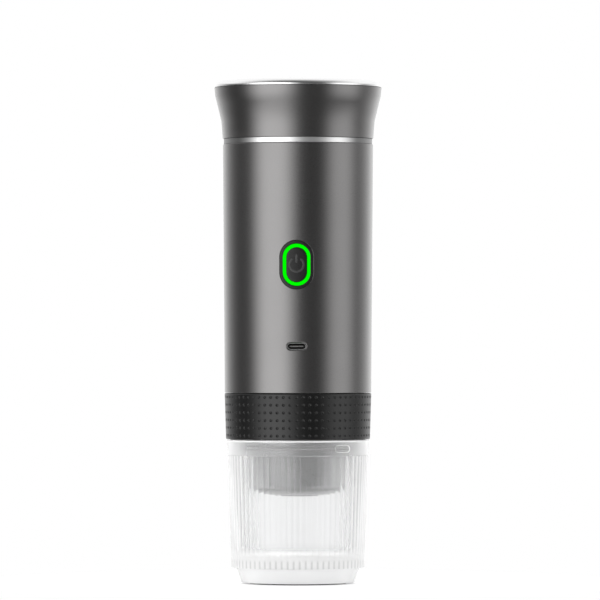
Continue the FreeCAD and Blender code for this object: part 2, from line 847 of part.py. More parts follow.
def make_group():
    head = turned("group_casting", [
        ("neck_radius", "neck_foot"),
        ("neck_radius", "group_flange_foot"),
        ("group_flange_radius", "group_flange_foot"),
        ("group_flange_radius", "group_flange_top"),
        ("group_dish_radius", "group_flange_top"),
        ("group_dish_radius", "group_dish_floor + group_dish_rise"),
        ("group_dish_radius - group_dish_slope", "group_dish_floor"),
        ("0", "group_dish_floor"),
        ("0", "screw_hole_top"),
        ("shower_screw_shank", "screw_hole_top"),
        ("shower_screw_shank", "shower_top"),
        ("screw_boss", "shower_top"),
        ("screw_boss", "water_space_top"),
        ("water_space_radius", "water_space_top"),
        ("water_space_radius", "shower_top"),
        ("gasket_inner", "shower_top"),
        ("gasket_inner", "gasket_top"),
        ("gasket_outer", "gasket_top"),
        ("gasket_outer", "neck_foot"),
    ])
    add_thread(head, [
        ("neck_radius - thread_root", "male_thread_level"),
        ("male_thread_radius", "male_thread_level + thread_bevel"),
        ("male_thread_radius", "male_thread_level + thread_width - thread_bevel"),
        ("neck_radius - thread_root", "male_thread_level + thread_width"),
    ], "thread_lead", "thread_span", "thread_starts")
    middle = "gear_spacing / 2 - motor_forward"
    barb = cylinder("group_barb", "barb_radius", "group_barb_top - group_dish_floor + spare",
                    "hose_side", middle, "group_dish_floor - spare")
    passage = cylinder("group_passage", "barb_bore", "group_barb_top - water_space_top + 2 * spare",
                       "hose_side", middle, "water_space_top - spare")
    cut("group_head", fuse("group_with_barb", [head, barb]), [passage])
    turned("group_gasket", [
        ("gasket_inner", "gasket_foot"),
        ("gasket_outer", "gasket_foot"),
        ("gasket_outer", "gasket_top"),
        ("gasket_inner", "gasket_top"),
    ])
    screen = cylinder("shower_disc", "shower_radius", "shower_top - shower_foot", z="shower_foot")
    holes = [
        cylinder("shower_hole_%d" % index, "shower_hole", "3 * spare", x, y, "shower_foot - spare")
        for index, (x, y) in enumerate(sieve_places())
    ]
    holes.append(cylinder("shower_screw_hole", "shower_screw_shank", "3 * spare", z="shower_foot - spare"))
    cut("shower_screen", screen, [group("shower_holes", holes)])
    screw = turned("shower_screw_blank", [
        ("0", "shower_screw_foot"),
        ("shower_screw_head", "shower_screw_foot"),
        ("shower_screw_head", "shower_foot"),
        ("shower_screw_shank", "shower_foot"),
        ("shower_screw_shank", "shower_screw_top"),
        ("0", "shower_screw_top"),
    ])
    slot = block("shower_screw_slot", "shower_screw_head * 3", "shower_slot_width",
                 "shower_slot_depth + spare", "-shower_screw_head * 1.5", "-shower_slot_width / 2",
                 "shower_screw_foot - spare")
    cut("shower_screw", screw, [slot])


def make_shells():
    shell = turned("shell_tube", [
        ("shell_foot_radius - shell_wall", "shell_foot"),
        ("shell_foot_radius", "shell_foot"),
        ("shell_top_radius", "shell_top"),
        ("shell_top_radius - shell_wall", "shell_top"),
    ])
    button_slot = stadium("shell_button_slot", "button_straight", "bezel_ring_radius", "button_level",
                          "bezel_back", "slot_depth", upright=True)
    usb_slot = stadium("shell_usb_slot", "usb_half_length", "usb_slot_radius", "usb_level",
                       "usb_back", "slot_depth + 2 * spare")
    usb_bevel = stadium("shell_usb_bevel", "usb_half_length", "usb_slot_radius", "usb_level",
                        "usb_shell_radius - usb_bevel_depth", "spare", taper=USB_BEVEL_ANGLE)
    usb_hole = fuse("shell_usb", [usb_slot, usb_bevel])
    cut("main_shell", shell, [group("shell_slots", [button_slot, usb_hole])])
    turned("chrome_ring", [
        ("spigot_radius - spigot_wall", "shell_top - spigot_reach"),
        ("spigot_radius", "shell_top - spigot_reach"),
        ("spigot_radius", "shell_top"),
        ("ring_radius - ring_edge", "shell_top", "ring_edge"),
        ("ring_radius", "shell_top + ring_edge"),
        ("ring_radius", "ring_top - ring_edge", "ring_edge"),
        ("ring_radius - ring_edge", "ring_top"),
        ("spigot_radius", "ring_top"),
        ("spigot_radius", "ring_top + spigot_reach"),
        ("spigot_radius - spigot_wall", "ring_top + spigot_reach"),
    ])
    knee_angle = "asin(flare_knee / flare_bend)"
    centre = "flare_foot_radius + flare_bend"
    turned("flare_shell", [
        ("flare_foot_radius - shell_wall", "ring_top"),
        ("flare_foot_radius", "ring_top", "-flare_bend"),
        (centre + " - flare_bend * cos(%s)" % knee_angle, "ring_top + flare_knee", "flare_brow"),
        ("overall_radius", "flare_top"),
        ("overall_radius - shell_wall", "flare_top", "shell_wall - flare_brow"),
        (centre + " - (flare_bend + shell_wall) * cos(%s)" % knee_angle,
         "ring_top + (flare_bend + shell_wall) * sin(%s)" % knee_angle, "flare_bend + shell_wall"),
    ])
    mouth = turned("mouth_ring", [
        ("mouth_bore", "mouth_foot"),
        ("mouth_radius", "mouth_foot"),
        ("mouth_radius", "mouth_rim_foot"),
        ("mouth_rim_radius", "mouth_rim_foot"),
        ("mouth_rim_radius", "mouth_top"),
        ("mouth_bore", "mouth_top"),
    ])
    low = "lid_thread_level + lid_thread_shift"
    add_thread(mouth, [
        ("mouth_thread_radius", low + " + thread_bevel"),
        ("mouth_bore + thread_root", low),
        ("mouth_bore + thread_root", low + " + lid_thread_width"),
        ("mouth_thread_radius", low + " + lid_thread_width - thread_bevel"),
    ], "lid_lead", "lid_thread_span", "lid_starts")


def make_tank():
    hose_y = "gear_spacing / 2 - motor_forward"
    liner = turned("tank_pot", [
        ("0", "tank_foot"),
        ("tank_radius - tank_round", "tank_foot", "tank_round"),
        ("tank_radius", "tank_foot + tank_round"),
        ("tank_radius", "tank_top - tank_wall"),
        ("tank_flange", "tank_top - tank_wall"),
        ("tank_flange", "tank_top"),
        ("tank_radius - tank_wall", "tank_top"),
        ("tank_radius - tank_wall", "tank_foot + tank_round", "tank_wall - tank_round"),
        ("tank_radius - tank_round", "tank_foot + tank_wall"),
        ("0", "tank_foot + tank_wall"),
    ])
    drain = cylinder("tank_drain", "tank_outlet_stem", "tank_wall + 2 * spare", "-hose_side", hose_y,
                     "tank_foot - spare")
    cut("tank_liner", liner, [drain])
    turned("tank_gasket", [
        ("mouth_bore", "tank_top"),
        ("tank_flange", "tank_top"),
        ("tank_flange", "mouth_foot"),
        ("mouth_bore", "mouth_foot"),
    ])
    outlet = turned("tank_outlet", [
        ("barb_bore", "tank_barb_foot"),
        ("barb_radius", "tank_barb_foot"),
        ("barb_radius", "tank_barb_shoulder"),
        ("tank_outlet_stem", "tank_barb_shoulder"),
        ("tank_outlet_stem", "tank_foot + tank_wall"),
        ("tank_outlet_flange", "tank_foot + tank_wall"),
        ("tank_outlet_flange", "tank_outlet_top"),
        ("barb_bore", "tank_outlet_top"),
    ])
    place(outlet, "-hose_side", hose_y)
    plate = cylinder("heater_disc", "heater_radius", "tank_foot - heater_foot", z="heater_foot")
    heater_hole = cylinder("heater_hole_tool", "heater_hole", "tank_foot - heater_foot + 2 * spare",
                           "-hose_side", hose_y, "heater_foot - spare")
    cut("heater_plate", plate, [heater_hole])
    fuse_tube = cylinder("fuse_tube", "fuse_radius", "fuse_length", "-fuse_length / 2", "fuse_forward",
                         "heater_foot - fuse_radius", axis="X")
    fuse_foot = block("fuse_foot", "fuse_length / 2", "fuse_radius * 2", "fuse_radius",
                      "-fuse_length / 4", "fuse_forward - fuse_radius", "heater_foot - fuse_radius")
    fuse("thermal_fuse", [fuse_tube, fuse_foot])
    cylinder("ntc_sensor", "sensor_radius", "sensor_height", "sensor_side", "-fuse_forward",
             "heater_foot - sensor_height")


def make_lid():
    cap = turned("lid_plug", [
        ("0", "lid_foot"),
        ("plug_radius - plug_bevel", "lid_foot"),
        ("plug_radius", "lid_foot + plug_bevel"),
        ("plug_radius", "lid_flange_foot"),
        ("lid_seal_inner - lid_seal_play", "lid_flange_foot"),
        ("lid_seal_inner - lid_seal_play", "lid_seal_top + lid_seal_play"),
        ("lid_seal_outer + lid_seal_play", "lid_seal_top + lid_seal_play"),
        ("lid_seal_outer + lid_seal_play", "lid_flange_foot"),
        ("lid_flange_radius", "lid_flange_foot"),
        ("lid_flange_radius", "lid_flange_top"),
        ("lid_dish_radius + lid_dish_round", "lid_flange_top", "lid_dish_round"),
        ("lid_dish_radius", "lid_flange_top - lid_dish_round"),
        ("lid_dish_radius", "lid_dish_floor + lid_dish_round", "-lid_dish_round"),
        ("lid_dish_radius - lid_dish_round", "lid_dish_floor"),
        ("0", "lid_dish_floor"),
    ])
    add_thread(cap, [
        ("plug_radius - thread_root", "lid_thread_level"),
        ("lid_thread_radius", "lid_thread_level + thread_bevel"),
        ("lid_thread_radius", "lid_thread_level + lid_thread_width - thread_bevel"),
        ("plug_radius - thread_root", "lid_thread_level + lid_thread_width"),
    ], "lid_lead", "lid_thread_span", "lid_starts")
    bar = block("lid_bar_web", "bar_reach * 2", "bar_width",
                "bar_top - bar_width / 2 - lid_dish_floor + spare", "-bar_reach", "-bar_width / 2",
                "lid_dish_floor - spare")
    bar_top = cylinder("lid_bar_top", "bar_width / 2", "bar_reach * 2", "-bar_reach", "0",
                       "bar_top - bar_width / 2", axis="X")
    fuse("lid_cap", [cap, bar, bar_top])
    turned("lid_bezel", [
        ("lid_flange_radius", "bezel_foot"),
        ("overall_radius", "bezel_foot"),
        ("overall_radius", "overall_height - bezel_round", "bezel_round"),
        ("overall_radius - bezel_round", "overall_height"),
        ("bezel_inner", "overall_height"),
        ("bezel_inner", "lid_flange_top"),
        ("lid_flange_radius", "lid_flange_top"),
    ])
    turned("lid_trim", [
        ("lid_dish_radius + lid_dish_round", "lid_flange_top"),
        ("bezel_inner", "lid_flange_top"),
        ("bezel_inner", "trim_top"),
        ("lid_dish_radius + lid_dish_round", "trim_top"),
    ])
    turned("lid_gasket", [
        ("lid_seal_inner", "lid_seal_foot"),
        ("lid_seal_outer", "lid_seal_foot"),
        ("lid_seal_outer", "lid_seal_top"),
        ("lid_seal_inner", "lid_seal_top"),
    ])


def cell_turn(index):
    return SIZES["cell_first_turn"] + SIZES["cell_turn_step"] * index


def cell_place(index):
    """Expressions for a battery cell's axis."""
    turn = cell_turn(index)
    return "cell_orbit * cos(%s deg)" % turn, "cell_orbit * sin(%s deg)" % turn


def make_battery():
    for index in range(3):
        cell = turned("battery_cell_%d" % (index + 1), [
            ("0", "cell_foot"),
            ("cell_radius - cell_bevel", "cell_foot"),
            ("cell_radius", "cell_foot + cell_bevel"),
            ("cell_radius", "cell_foot + cell_length - cell_cap_height - cell_bevel"),
            ("cell_radius - cell_bevel", "cell_foot + cell_length - cell_cap_height"),
            ("cell_cap_radius", "cell_foot + cell_length - cell_cap_height"),
            ("cell_cap_radius", "cell_foot + cell_length"),
            ("0", "cell_foot + cell_length"),
        ])
        x, y = cell_place(index)
        place(cell, x, y)
    strips = []
    for index, level in ((0, "cell_foot + cell_length"), (1, "cell_foot - strip_thickness")):
        turn = cell_turn(index) + SIZES["cell_turn_step"] / 2
        strip = bind(doc.addObject("Part::Box", "cell_strip_%d" % index),
                     Length="strip_width", Width="strip_length", Height="strip_thickness")
        middle = "cell_orbit * cos(%s deg)" % (SIZES["cell_turn_step"] / 2)
        along_x = "((%s) - strip_width / 2)" % middle
        place(
            strip,
            "%s * cos(%s deg) + strip_length / 2 * sin(%s deg)" % (along_x, turn, turn),
            "%s * sin(%s deg) - strip_length / 2 * cos(%s deg)" % (along_x, turn, turn),
            level,
            turn=turn,
        )
        strips.append(strip)
    return group("cell_strips", strips)


def tray(name, foot, top, ring_foot, ring_top, strips, passes):
    """A round tray with a socket ring for each battery cell."""
    solids = [cylinder(name + "_disc", "tray_radius", "%s - %s" % (top, foot), z=foot)]
    bores = list(passes)
    for index in range(3):
        x, y = cell_place(index)
        height = "%s - (%s)" % (ring_top, ring_foot)
        ring_name = "%s_ring_%d" % (name, index)
        solids.append(cylinder(ring_name, "socket_ring_radius", height, x, y, ring_foot))
        bores.append(cylinder(ring_name + "_bore", "socket_ring_bore", height, x, y, ring_foot))
    solid = fuse(name + "_solid", solids)
    return cut(name, solid, bores + [strips])


def rod_places():
    """Expressions for the tie rods' axes."""
    return [
        ("rod_orbit * cos(%s deg)" % turn, "rod_orbit * sin(%s deg)" % turn)
        for turn in ROD_TURNS
    ]


def make_chassis(strips):
    hose_y = "gear_spacing / 2 - motor_forward"
    low_height = "low_tray_top - group_flange_top + 2 * spare"
    low_foot = "group_flange_top - spare"
    high_height = "high_tray_top - high_tray_foot + 2 * spare"
    high_foot = "high_tray_foot - spare"
    low_passes = [cylinder("low_hose_pass", "hose_pass", low_height, "hose_side", hose_y, low_foot)]
    high_passes = [
        cylinder("high_hose_pass", "hose_pass", high_height, "-hose_side", hose_y, high_foot),
        cylinder("wire_pass_tool", "wire_pass", high_height, "wire_pass_side", "-wire_pass_forward",
                 high_foot),
    ]
    rods = []
    screws = []
    for index, (x, y) in enumerate(rod_places()):
        rod = cylinder("rod_%d" % index, "rod_radius", "high_tray_foot - low_tray_top", x, y,
                       "low_tray_top")
        spigot = cylinder("rod_spigot_%d" % index, "rod_thread", "low_tray_top - group_flange_top", x, y,
                          "group_flange_top")
        tapped = cylinder("rod_tapped_%d" % index, "rod_thread", "rod_thread_depth + spare", x, y,
                          "high_tray_foot - rod_thread_depth")
        rods.append(cut("tie_rod_%d" % index, fuse("rod_solid_%d" % index, [rod, spigot]), [tapped]))
        shank = cylinder("tray_screw_shank_%d" % index, "rod_thread",
                         "high_tray_top - high_tray_foot + rod_thread_depth - spare", x, y,
                         "high_tray_foot - rod_thread_depth + spare")
        head = cylinder("tray_screw_head_%d" % index, "tray_screw_head", "tray_screw_height", x, y,
                        "high_tray_top")
        screws.append(fuse("tray_screw_%d" % index, [shank, head]))
        low_passes.append(cylinder("low_rod_pass_%d" % index, "rod_thread", low_height, x, y, low_foot))
        high_passes.append(cylinder("high_rod_pass_%d" % index, "rod_thread", high_height, x, y, high_foot))
    group("tie_rods", rods)
    group("tray_screws", screws)
    tray("lower_tray", "group_flange_top", "low_tray_top", "low_tray_top",
         "low_tray_top + socket_ring_height", strips, low_passes)
    tray("upper_tray", "high_tray_foot", "high_tray_top", "high_tray_foot - socket_ring_height",
         "high_tray_foot", strips, high_passes)


def make_motor():
    motor_y = "-motor_forward"
    can = turned("motor_can", [
        ("shaft_pass", "motor_foot"),
        ("motor_radius", "motor_foot"),
        ("motor_radius", "motor_top"),
        ("motor_radius - motor_wall", "motor_top"),
        ("motor_radius - motor_wall", "motor_foot + motor_plate"),
        ("shaft_pass", "motor_foot + motor_plate"),
    ])
    place(can, y=motor_y)
    magnets = []
    for index in range(2):
        magnet = turned("magnet_%d" % index, [
            ("magnet_inner", "magnet_foot"),
            ("motor_radius - motor_wall", "magnet_foot"),
            ("motor_radius - motor_wall", "magnet_top"),
            ("magnet_inner", "magnet_top"),
        ], angle="magnet_span")
        magnets.append(place(magnet, y=motor_y, turn=180.0 * index + (180.0 - SIZES["magnet_span"]) / 2))
    group("motor_magnets", magnets)
    endcap = turned("endcap_disc", [
        ("shaft_pass", "endcap_foot"),
        ("motor_radius - motor_wall", "endcap_foot"),
        ("motor_radius - motor_wall", "endcap_top"),
        ("endcap_boss", "endcap_top"),
        ("endcap_boss", "endcap_boss_top"),
        ("shaft_pass", "endcap_boss_top"),
    ])
    place(endcap, y=motor_y)
    terminals = [
        block("terminal_%d" % index, "terminal_width", "terminal_thickness",
              "terminal_top - endcap_foot - spare", "%d * terminal_side - terminal_width / 2" % side,
              "-motor_forward - terminal_thickness / 2", "endcap_foot + spare")
        for index, side in enumerate((-1, 1))
    ]
    fuse("motor_endcap", [endcap] + terminals)
    rotor = turned("rotor_blank", [
        ("0", "shaft_foot"),
        ("shaft_radius", "shaft_foot"),
        ("shaft_radius", "core_foot"),
        ("core_radius", "core_foot"),
        ("core_radius", "core_top"),
        ("shaft_radius", "core_top"),
        ("shaft_radius", "commutator_foot"),
        ("commutator_radius", "commutator_foot"),
        ("commutator_radius", "commutator_top"),
        ("shaft_radius", "commutator_top"),
        ("shaft_radius", "shaft_top"),
        ("0", "shaft_top"),
    ])
    place(rotor, y=motor_y)
    slots = []
    for index in range(int(SIZES["core_slots"])):
        turn = 360.0 * index / SIZES["core_slots"] + 90.0
        slot = bind(doc.addObject("Part::Box", "core_slot_%d" % index), Length="core_radius",
                    Width="core_slot_width", Height="core_top - core_foot + 2 * spare")
        across = "core_slot_width / 2 * %s(%s deg)"
        place(
            slot,
            "core_slot_floor * cos(%s deg) + %s" % (turn, across % ("sin", turn)),
            "core_slot_floor * sin(%s deg) - %s - motor_forward" % (turn, across % ("cos", turn)),
            "core_foot - spare",
            turn=turn,
        )
        slots.append(slot)
    cut("motor_rotor", rotor, [group("core_slots_tool", slots)])


def gear_solid(name, turn):
    """A spur gear of involute teeth about its own axis."""
    outline = fcgear.FCWireBuilder()
    teeth = int(SIZES["gear_teeth"])
    involute.CreateExternalGear(outline, size("gear_module"), teeth, size("gear_angle"), True)
    wire = Part.Wire([curve.toShape() for curve in outline.wire])
    gear = doc.addObject("Part::Feature", name)
    gear.Shape = Part.Face(wire).extrude(V(0, 0, size("gear_top - gear_foot")))
    gear.Placement = FreeCAD.Placement(V(0, 0, size("gear_foot")), FreeCAD.Rotation(V(0, 0, 1), turn))
    return gear


def make_pump():
    drive_y = "-motor_forward"
    idler_y = "gear_spacing - motor_forward"
    middle_y = "gear_spacing / 2 - motor_forward"

    def oval(name, radius, foot, top):
        height = "%s - %s" % (top, foot)
        near = cylinder(name + "_near", radius, height, y=drive_y, z=foot)
        far = cylinder(name + "_far", radius, height, y=idler_y, z=foot)
        return near, far, height

    near, far, height = oval("pump_end", "pump_radius", "low_tray_top", "pump_split")
    waist = block("pump_waist", "pump_radius * 2", "gear_spacing", height, "-pump_radius", drive_y,
                  "low_tray_top")
    barbs = cylinder("pump_barbs", "barb_radius", "port_reach * 2", "-port_reach", middle_y, "port_level",
                     axis="X")
    solid = fuse("pump_solid", [near, far, waist, barbs])
    pocket_near, pocket_far, _ = oval("pump_pocket", "pump_pocket", "pump_floor", "(pump_split + spare)")
    journal_near, journal_far, _ = oval("pump_journal", "pump_journal", "journal_foot", "pump_split")
    port = cylinder("pump_port", "barb_bore", "(port_reach + spare) * 2", "-port_reach - spare", middle_y,
                    "port_level", axis="X")
    screws = []
    wells = []
    for index, (side, along) in enumerate((
        ("0", drive_y + " - pump_screw_orbit"),
        ("0", idler_y + " + pump_screw_orbit"),
        ("-pump_screw_orbit", drive_y),
        ("pump_screw_orbit", drive_y),
        ("-pump_screw_orbit", idler_y),
        ("pump_screw_orbit", idler_y),
    )):
        foot = "pump_screw_head_foot"
        head = cylinder("pump_head_%d" % index, "pump_screw_head", "pump_screw_head_top - " + foot,
                        side, along, foot)
        shank = cylinder("pump_shank_%d" % index, "pump_screw_radius", "pump_screw_top - " + foot,
                         side, along, foot)
        screws.append(fuse("pump_screw_%d" % index, [head, shank]))
        wells.append(cylinder("pump_well_%d" % index, "pump_screw_head",
                              "%s - low_tray_top + spare" % foot, side, along, "low_tray_top - spare"))
    screw_set = group("pump_screws", screws)
    cut("pump_housing", solid,
        [pocket_near, pocket_far, journal_near, journal_far, port, screw_set] + wells)
    near, far, height = oval("cover_end", "pump_radius", "pump_split", "pump_cover_step")
    waist = block("cover_waist", "pump_radius * 2", "gear_spacing", height, "-pump_radius", drive_y,
                  "pump_split")
    flange = cylinder("cover_flange", "motor_radius", "motor_foot - pump_cover_step", y=drive_y,
                      z="pump_cover_step")
    cover = fuse("cover_solid", [near, far, waist, flange])
    shaft_hole = cylinder("cover_shaft_hole", "shaft_pass", "motor_foot - pump_split + 2 * spare",
                          y=drive_y, z="pump_split - spare")
    idler_hole = cylinder("cover_idler_hole", "pump_journal", "journal_top - pump_split + spare",
                          y=idler_y, z="pump_split - spare")
    cut("pump_cover", cover, [shaft_hole, idler_hole, screw_set])
    gear = place(group("drive_blank", [gear_solid("drive_teeth", 0.0)]), y=drive_y)
    bore = cylinder("drive_bore", "shaft_radius", "gear_top - gear_foot + 2 * spare", y=drive_y,
                    z="gear_foot - spare")
    cut("drive_gear", gear, [bore])
    half_tooth = 180.0 / SIZES["gear_teeth"]
    idler = place(group("driven_blank", [gear_solid("driven_teeth", half_tooth)]), y=idler_y)
    pin = cylinder("driven_pin", "shaft_radius", "idler_pin_top - idler_pin_foot", y=idler_y,
                   z="idler_pin_foot")
    fuse("driven_gear", [idler, pin])


def hose(name, corner, ends):
    """A bent tube: two straight runs joined by one tangent arc, in an upright plane."""
    start, stop = ends
    bend = size("hose_bend")
    first = corner + (start - corner).normalize() * bend
    last = corner + (stop - corner).normalize() * bend
    centre = first + (last - corner)
    middle = centre + (corner - centre).normalize() * bend
    path = Part.Wire([
        Part.LineSegment(start, first).toShape(),
        Part.Arc(first, middle, last).toShape(),
        Part.LineSegment(last, stop).toShape(),
    ])
    way = first - start
    tubes = []
    for radius in (size("hose_radius"), size("barb_radius")):
        ring = Part.Wire([Part.Circle(start, way, radius).toShape()])
        tubes.append(path.makePipeShell([ring], True, False))
    tube = doc.addObject("Part::Feature", name)
    tube.Shape = tubes[0].cut(tubes[1])
    section = math.pi * (size("hose_radius") ** 2 - size("barb_radius") ** 2)
    print("%s: volume over section times length %.4f" % (name, tube.Shape.Volume / section / path.Length))


def make_hoses():
    y = size("gear_spacing / 2 - motor_forward")
    side = size("hose_side")
    level = size("port_level")
    port_end = size("hose_port_end")
    hose("inlet_hose", V(-side, y, level), (V(-side, y, size("inlet_hose_top")), V(-port_end, y, level)))
    hose("outlet_hose", V(side, y, level), (V(side, y, size("outlet_hose_foot")), V(port_end, y, level)))


def make_electronics():
    block("main_board", "board_half_width * 2", "board_front - board_back", "high_tray_foot - low_tray_top",
          "-board_half_width", "-board_front", "low_tray_top")
    parts = [
        block(name, str(width), str(depth), str(height), str(left), "-board_front - %s" % depth,
              str(foot))
        for name, (width, depth, height, left, foot) in FRONT_PARTS.items()
    ]
    parts += [
        cylinder(name, str(radius), str(height), str(middle), "-board_back", str(level), axis="Y")
        for name, (radius, height, middle, level) in CAPACITORS.items()
    ]
    group("board_parts", parts)
    switch = block("switch_case", "switch_half * 2", "switch_front - board_front", "switch_half * 2",
                   "-switch_half", "-switch_front", "button_level - switch_half")
    well = cylinder("switch_well_tool", "switch_hole", "switch_well + spare", "0",
                    "-switch_front - spare", "button_level", axis="Y")
    cut("switch_body", switch, [well])
    leds = []
    ring_middle = "(light_outer + light_inner) / 2"
    for index in range(8):
        turn = 45.0 * index + 22.5
        side = math.copysign(1, math.sin(math.radians(turn)))
        leds.append(block(
            "led_%d" % index, "led_size", "led_height", "led_size",
            "%s * cos(%s deg) - led_size / 2" % (ring_middle, turn),
            "-board_front - led_height",
            "button_level + %s * sin(%s deg) + %d * light_straight - led_size / 2"
            % (ring_middle, turn, side),
        ))
    group("ring_leds", leds)
    usb_case = stadium("usb_case", "usb_half_length", "usb_radius", "usb_level", "board_front",
                       "usb_front - board_front")
    usb_mouth = stadium("usb_mouth", "usb_opening_half", "usb_opening", "usb_level", "usb_back",
                        "slot_depth")
    cut("usb_receptacle", usb_case, [usb_mouth])
    block("usb_tongue", "tongue_half_width * 2", "tongue_front - usb_back", "tongue_thickness",
          "-tongue_half_width", "-tongue_front", "usb_level - tongue_thickness / 2")


def make_button():
    def slab(name, radius, straight, back, front):
        depth = "%s - (%s)" % (front, back)
        return stadium(name, straight, radius, "button_level", back, depth, upright=True)

    front = "shell_top_radius + 2 * spare"
    bezel_slab = slab("bezel_slab", "bezel_ring_radius", "button_straight", "bezel_back", front)
    bezel_lip = slab("bezel_lip", "bezel_lip_radius", "button_straight", "bezel_back", "bezel_lip_front")
    bezel_face = common("bezel_face", bezel_slab, shell_cone("bezel_cone", "bezel_proud"))
    light_slab = slab("light_slab", "light_outer", "light_straight", "light_back", front)
    cut("button_bezel", fuse("bezel_solid", [bezel_face, bezel_lip]), [light_slab])
    light_hole = slab("light_hole", "light_inner", "light_straight", "light_back - spare", front)
    light_face = common("light_face", light_slab, shell_cone("light_cone", "light_proud"))
    cut("light_ring", light_face, [light_hole])
    cap_slab = slab("cap_slab", "cap_radius", "light_straight", "cap_back", front)
    cap_face = common("cap_face", cap_slab, shell_cone("cap_cone", "-cap_sunk"))
    icon_depth = front + " - icon_back"
    icon_y = "-(" + front + ")"
    disc = cylinder("icon_disc", "icon_radius", icon_depth, "0", icon_y, "button_level", axis="Y")
    hole = cylinder("icon_hole", "icon_radius - icon_stroke", icon_depth + " + 2 * spare", "0",
                    icon_y + " - spare", "button_level", axis="Y")
    gap = block("icon_gap_tool", "icon_gap", icon_depth + " + 2 * spare", "icon_radius", "-icon_gap / 2",
                icon_y + " - spare", "button_level + spare")
    bar = block("icon_bar", "icon_stroke", icon_depth, "icon_bar_top - icon_bar_foot", "-icon_stroke / 2",
                icon_y, "button_level + icon_bar_foot")
    mark = group("icon_mark", [cut("icon_arc", disc, [hole, gap]), bar])
    icon = common("button_icon", mark, shell_cone("icon_cone", "-icon_sunk"))
    cut("button_cap", cap_face, [icon])
    cylinder("switch_plunger", "plunger_radius", "cap_back - plunger_back", "0", "-cap_back", "button_level",
             axis="Y")


NODES = [
    "cup_body", "cup_foot_ring",
    "collar_body", "grip_sleeve", "cup_oring", "thrust_washer",
    "chamber_body", "filter_basket", "valve_seat", "crema_valve", "valve_spring", "outlet_nozzle",
    "group_head", "group_gasket", "shower_screen", "shower_screw",
    "main_shell", "chrome_ring", "flare_shell", "mouth_ring",
    "tank_liner", "tank_gasket", "tank_outlet", "heater_plate", "thermal_fuse", "ntc_sensor",
    "lid_cap", "lid_bezel", "lid_trim", "lid_gasket",
    "lower_tray", "upper_tray", "tie_rods", "tray_screws",
    "battery_cell_1", "battery_cell_2", "battery_cell_3", "cell_strips",
    "motor_can", "motor_magnets", "motor_endcap", "motor_rotor",
    "pump_housing", "pump_cover", "pump_screws", "drive_gear", "driven_gear",
    "inlet_hose", "outlet_hose",
    "main_board", "board_parts", "switch_body", "ring_leds", "usb_receptacle", "usb_tongue",
    "button_bezel", "light_ring", "button_cap", "button_icon", "switch_plunger",
]


def write_parts():
    doc.recompute()
    for item in doc.Objects:
        if "Invalid" in item.State or "Error" in item.State:
            raise RuntimeError("%s is not well: %s" % (item.Label, item.State))
    os.makedirs("parts", exist_ok=True)
    for name in NODES:
        shape = doc.getObjectsByLabel(name)[0].Shape
        if shape.isNull() or not shape.isValid() or shape.Volume <= 0:
            raise RuntimeError("%s has no valid solid" % name)
    for name in NODES:
        shape = doc.getObjectsByLabel(name)[0].Shape
        shape.exportStep("parts/%s.step" % name)
        print("%-16s %2d solids %10.1f mm3" % (name, len(shape.Solids), shape.Volume))


def main():
    make_cup()
    make_collar()
    make_chamber()
    make_group()
    make_shells()
    make_tank()
    make_lid()
    make_chassis(make_battery())
    make_motor()
    make_pump()
    make_hoses()
    make_electronics()
    make_button()
    write_parts()


main()
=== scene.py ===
"""Looks of the portable espresso maker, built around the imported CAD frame."""

import math

import bpy
import numpy as np
from mathutils import Matrix, Vector


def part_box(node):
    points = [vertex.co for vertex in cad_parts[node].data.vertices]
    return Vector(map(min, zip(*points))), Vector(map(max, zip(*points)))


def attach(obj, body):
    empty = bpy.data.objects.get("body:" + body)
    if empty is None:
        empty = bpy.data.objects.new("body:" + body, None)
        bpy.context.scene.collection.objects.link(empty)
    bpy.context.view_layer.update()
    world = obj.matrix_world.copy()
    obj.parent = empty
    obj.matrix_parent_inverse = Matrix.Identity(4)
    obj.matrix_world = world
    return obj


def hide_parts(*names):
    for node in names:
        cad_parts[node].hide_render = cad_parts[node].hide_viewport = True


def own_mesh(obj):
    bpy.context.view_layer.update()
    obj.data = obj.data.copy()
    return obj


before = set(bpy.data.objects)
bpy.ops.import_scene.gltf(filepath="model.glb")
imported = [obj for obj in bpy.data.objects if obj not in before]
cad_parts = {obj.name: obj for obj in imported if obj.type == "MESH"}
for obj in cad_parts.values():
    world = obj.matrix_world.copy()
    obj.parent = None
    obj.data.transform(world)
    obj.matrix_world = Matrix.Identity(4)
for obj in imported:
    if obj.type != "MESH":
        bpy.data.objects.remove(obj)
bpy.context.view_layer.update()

MM = 0.001


def foot(node):
    """Lowest level of a node, in millimetres."""
    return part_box(node)[0].z / MM


def top(node):
    """Highest level of a node, in millimetres."""
    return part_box(node)[1].z / MM


def back(node):
    """How far in front of the axis a node's back lies, in millimetres."""
    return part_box(node)[1].y / -MM


# Sizes in millimetres, as in the part's own source. The rest comes from the nodes' boxes.
EDGE_ROUND = 0.3
FINE_ROUND = 0.15
FOOT_LEVEL = 0.6
FOOT_RADIUS = 27.1
FOOT_TOP_RADIUS = 29.5
FOOT_HOLLOW_RADIUS = 22.0
FOOT_HOLLOW_TOP = 8.3
FOOT_HOLLOW_ROUND = 1.0
FOOT_RING_OUTER = 23.4
FOOT_RING_TOP = 1.6
FOOT_ROUND = 0.2
RIB_COUNT = 70
RIB_FOOT = 7.8
RIB_FOOT_RADIUS = 31.97
RIB_TOP = 61.3
RIB_TOP_RADIUS = 33.75
RIB_DEPTH = 0.15
RIB_SLOPE = (RIB_TOP_RADIUS - RIB_FOOT_RADIUS) / (RIB_TOP - RIB_FOOT)
RIB_LEDGE = 0.3
CUP_FLOOR = 11.0
CUP_FLOOR_ROUND = 3.0
CUP_WALL_FOOT = 28.6
CUP_WALL_TOP = 31.0
CUP_WALL_ROUND = 0.4
CUP_NECK_RADIUS = 34.2
CUP_RIM = 68.7
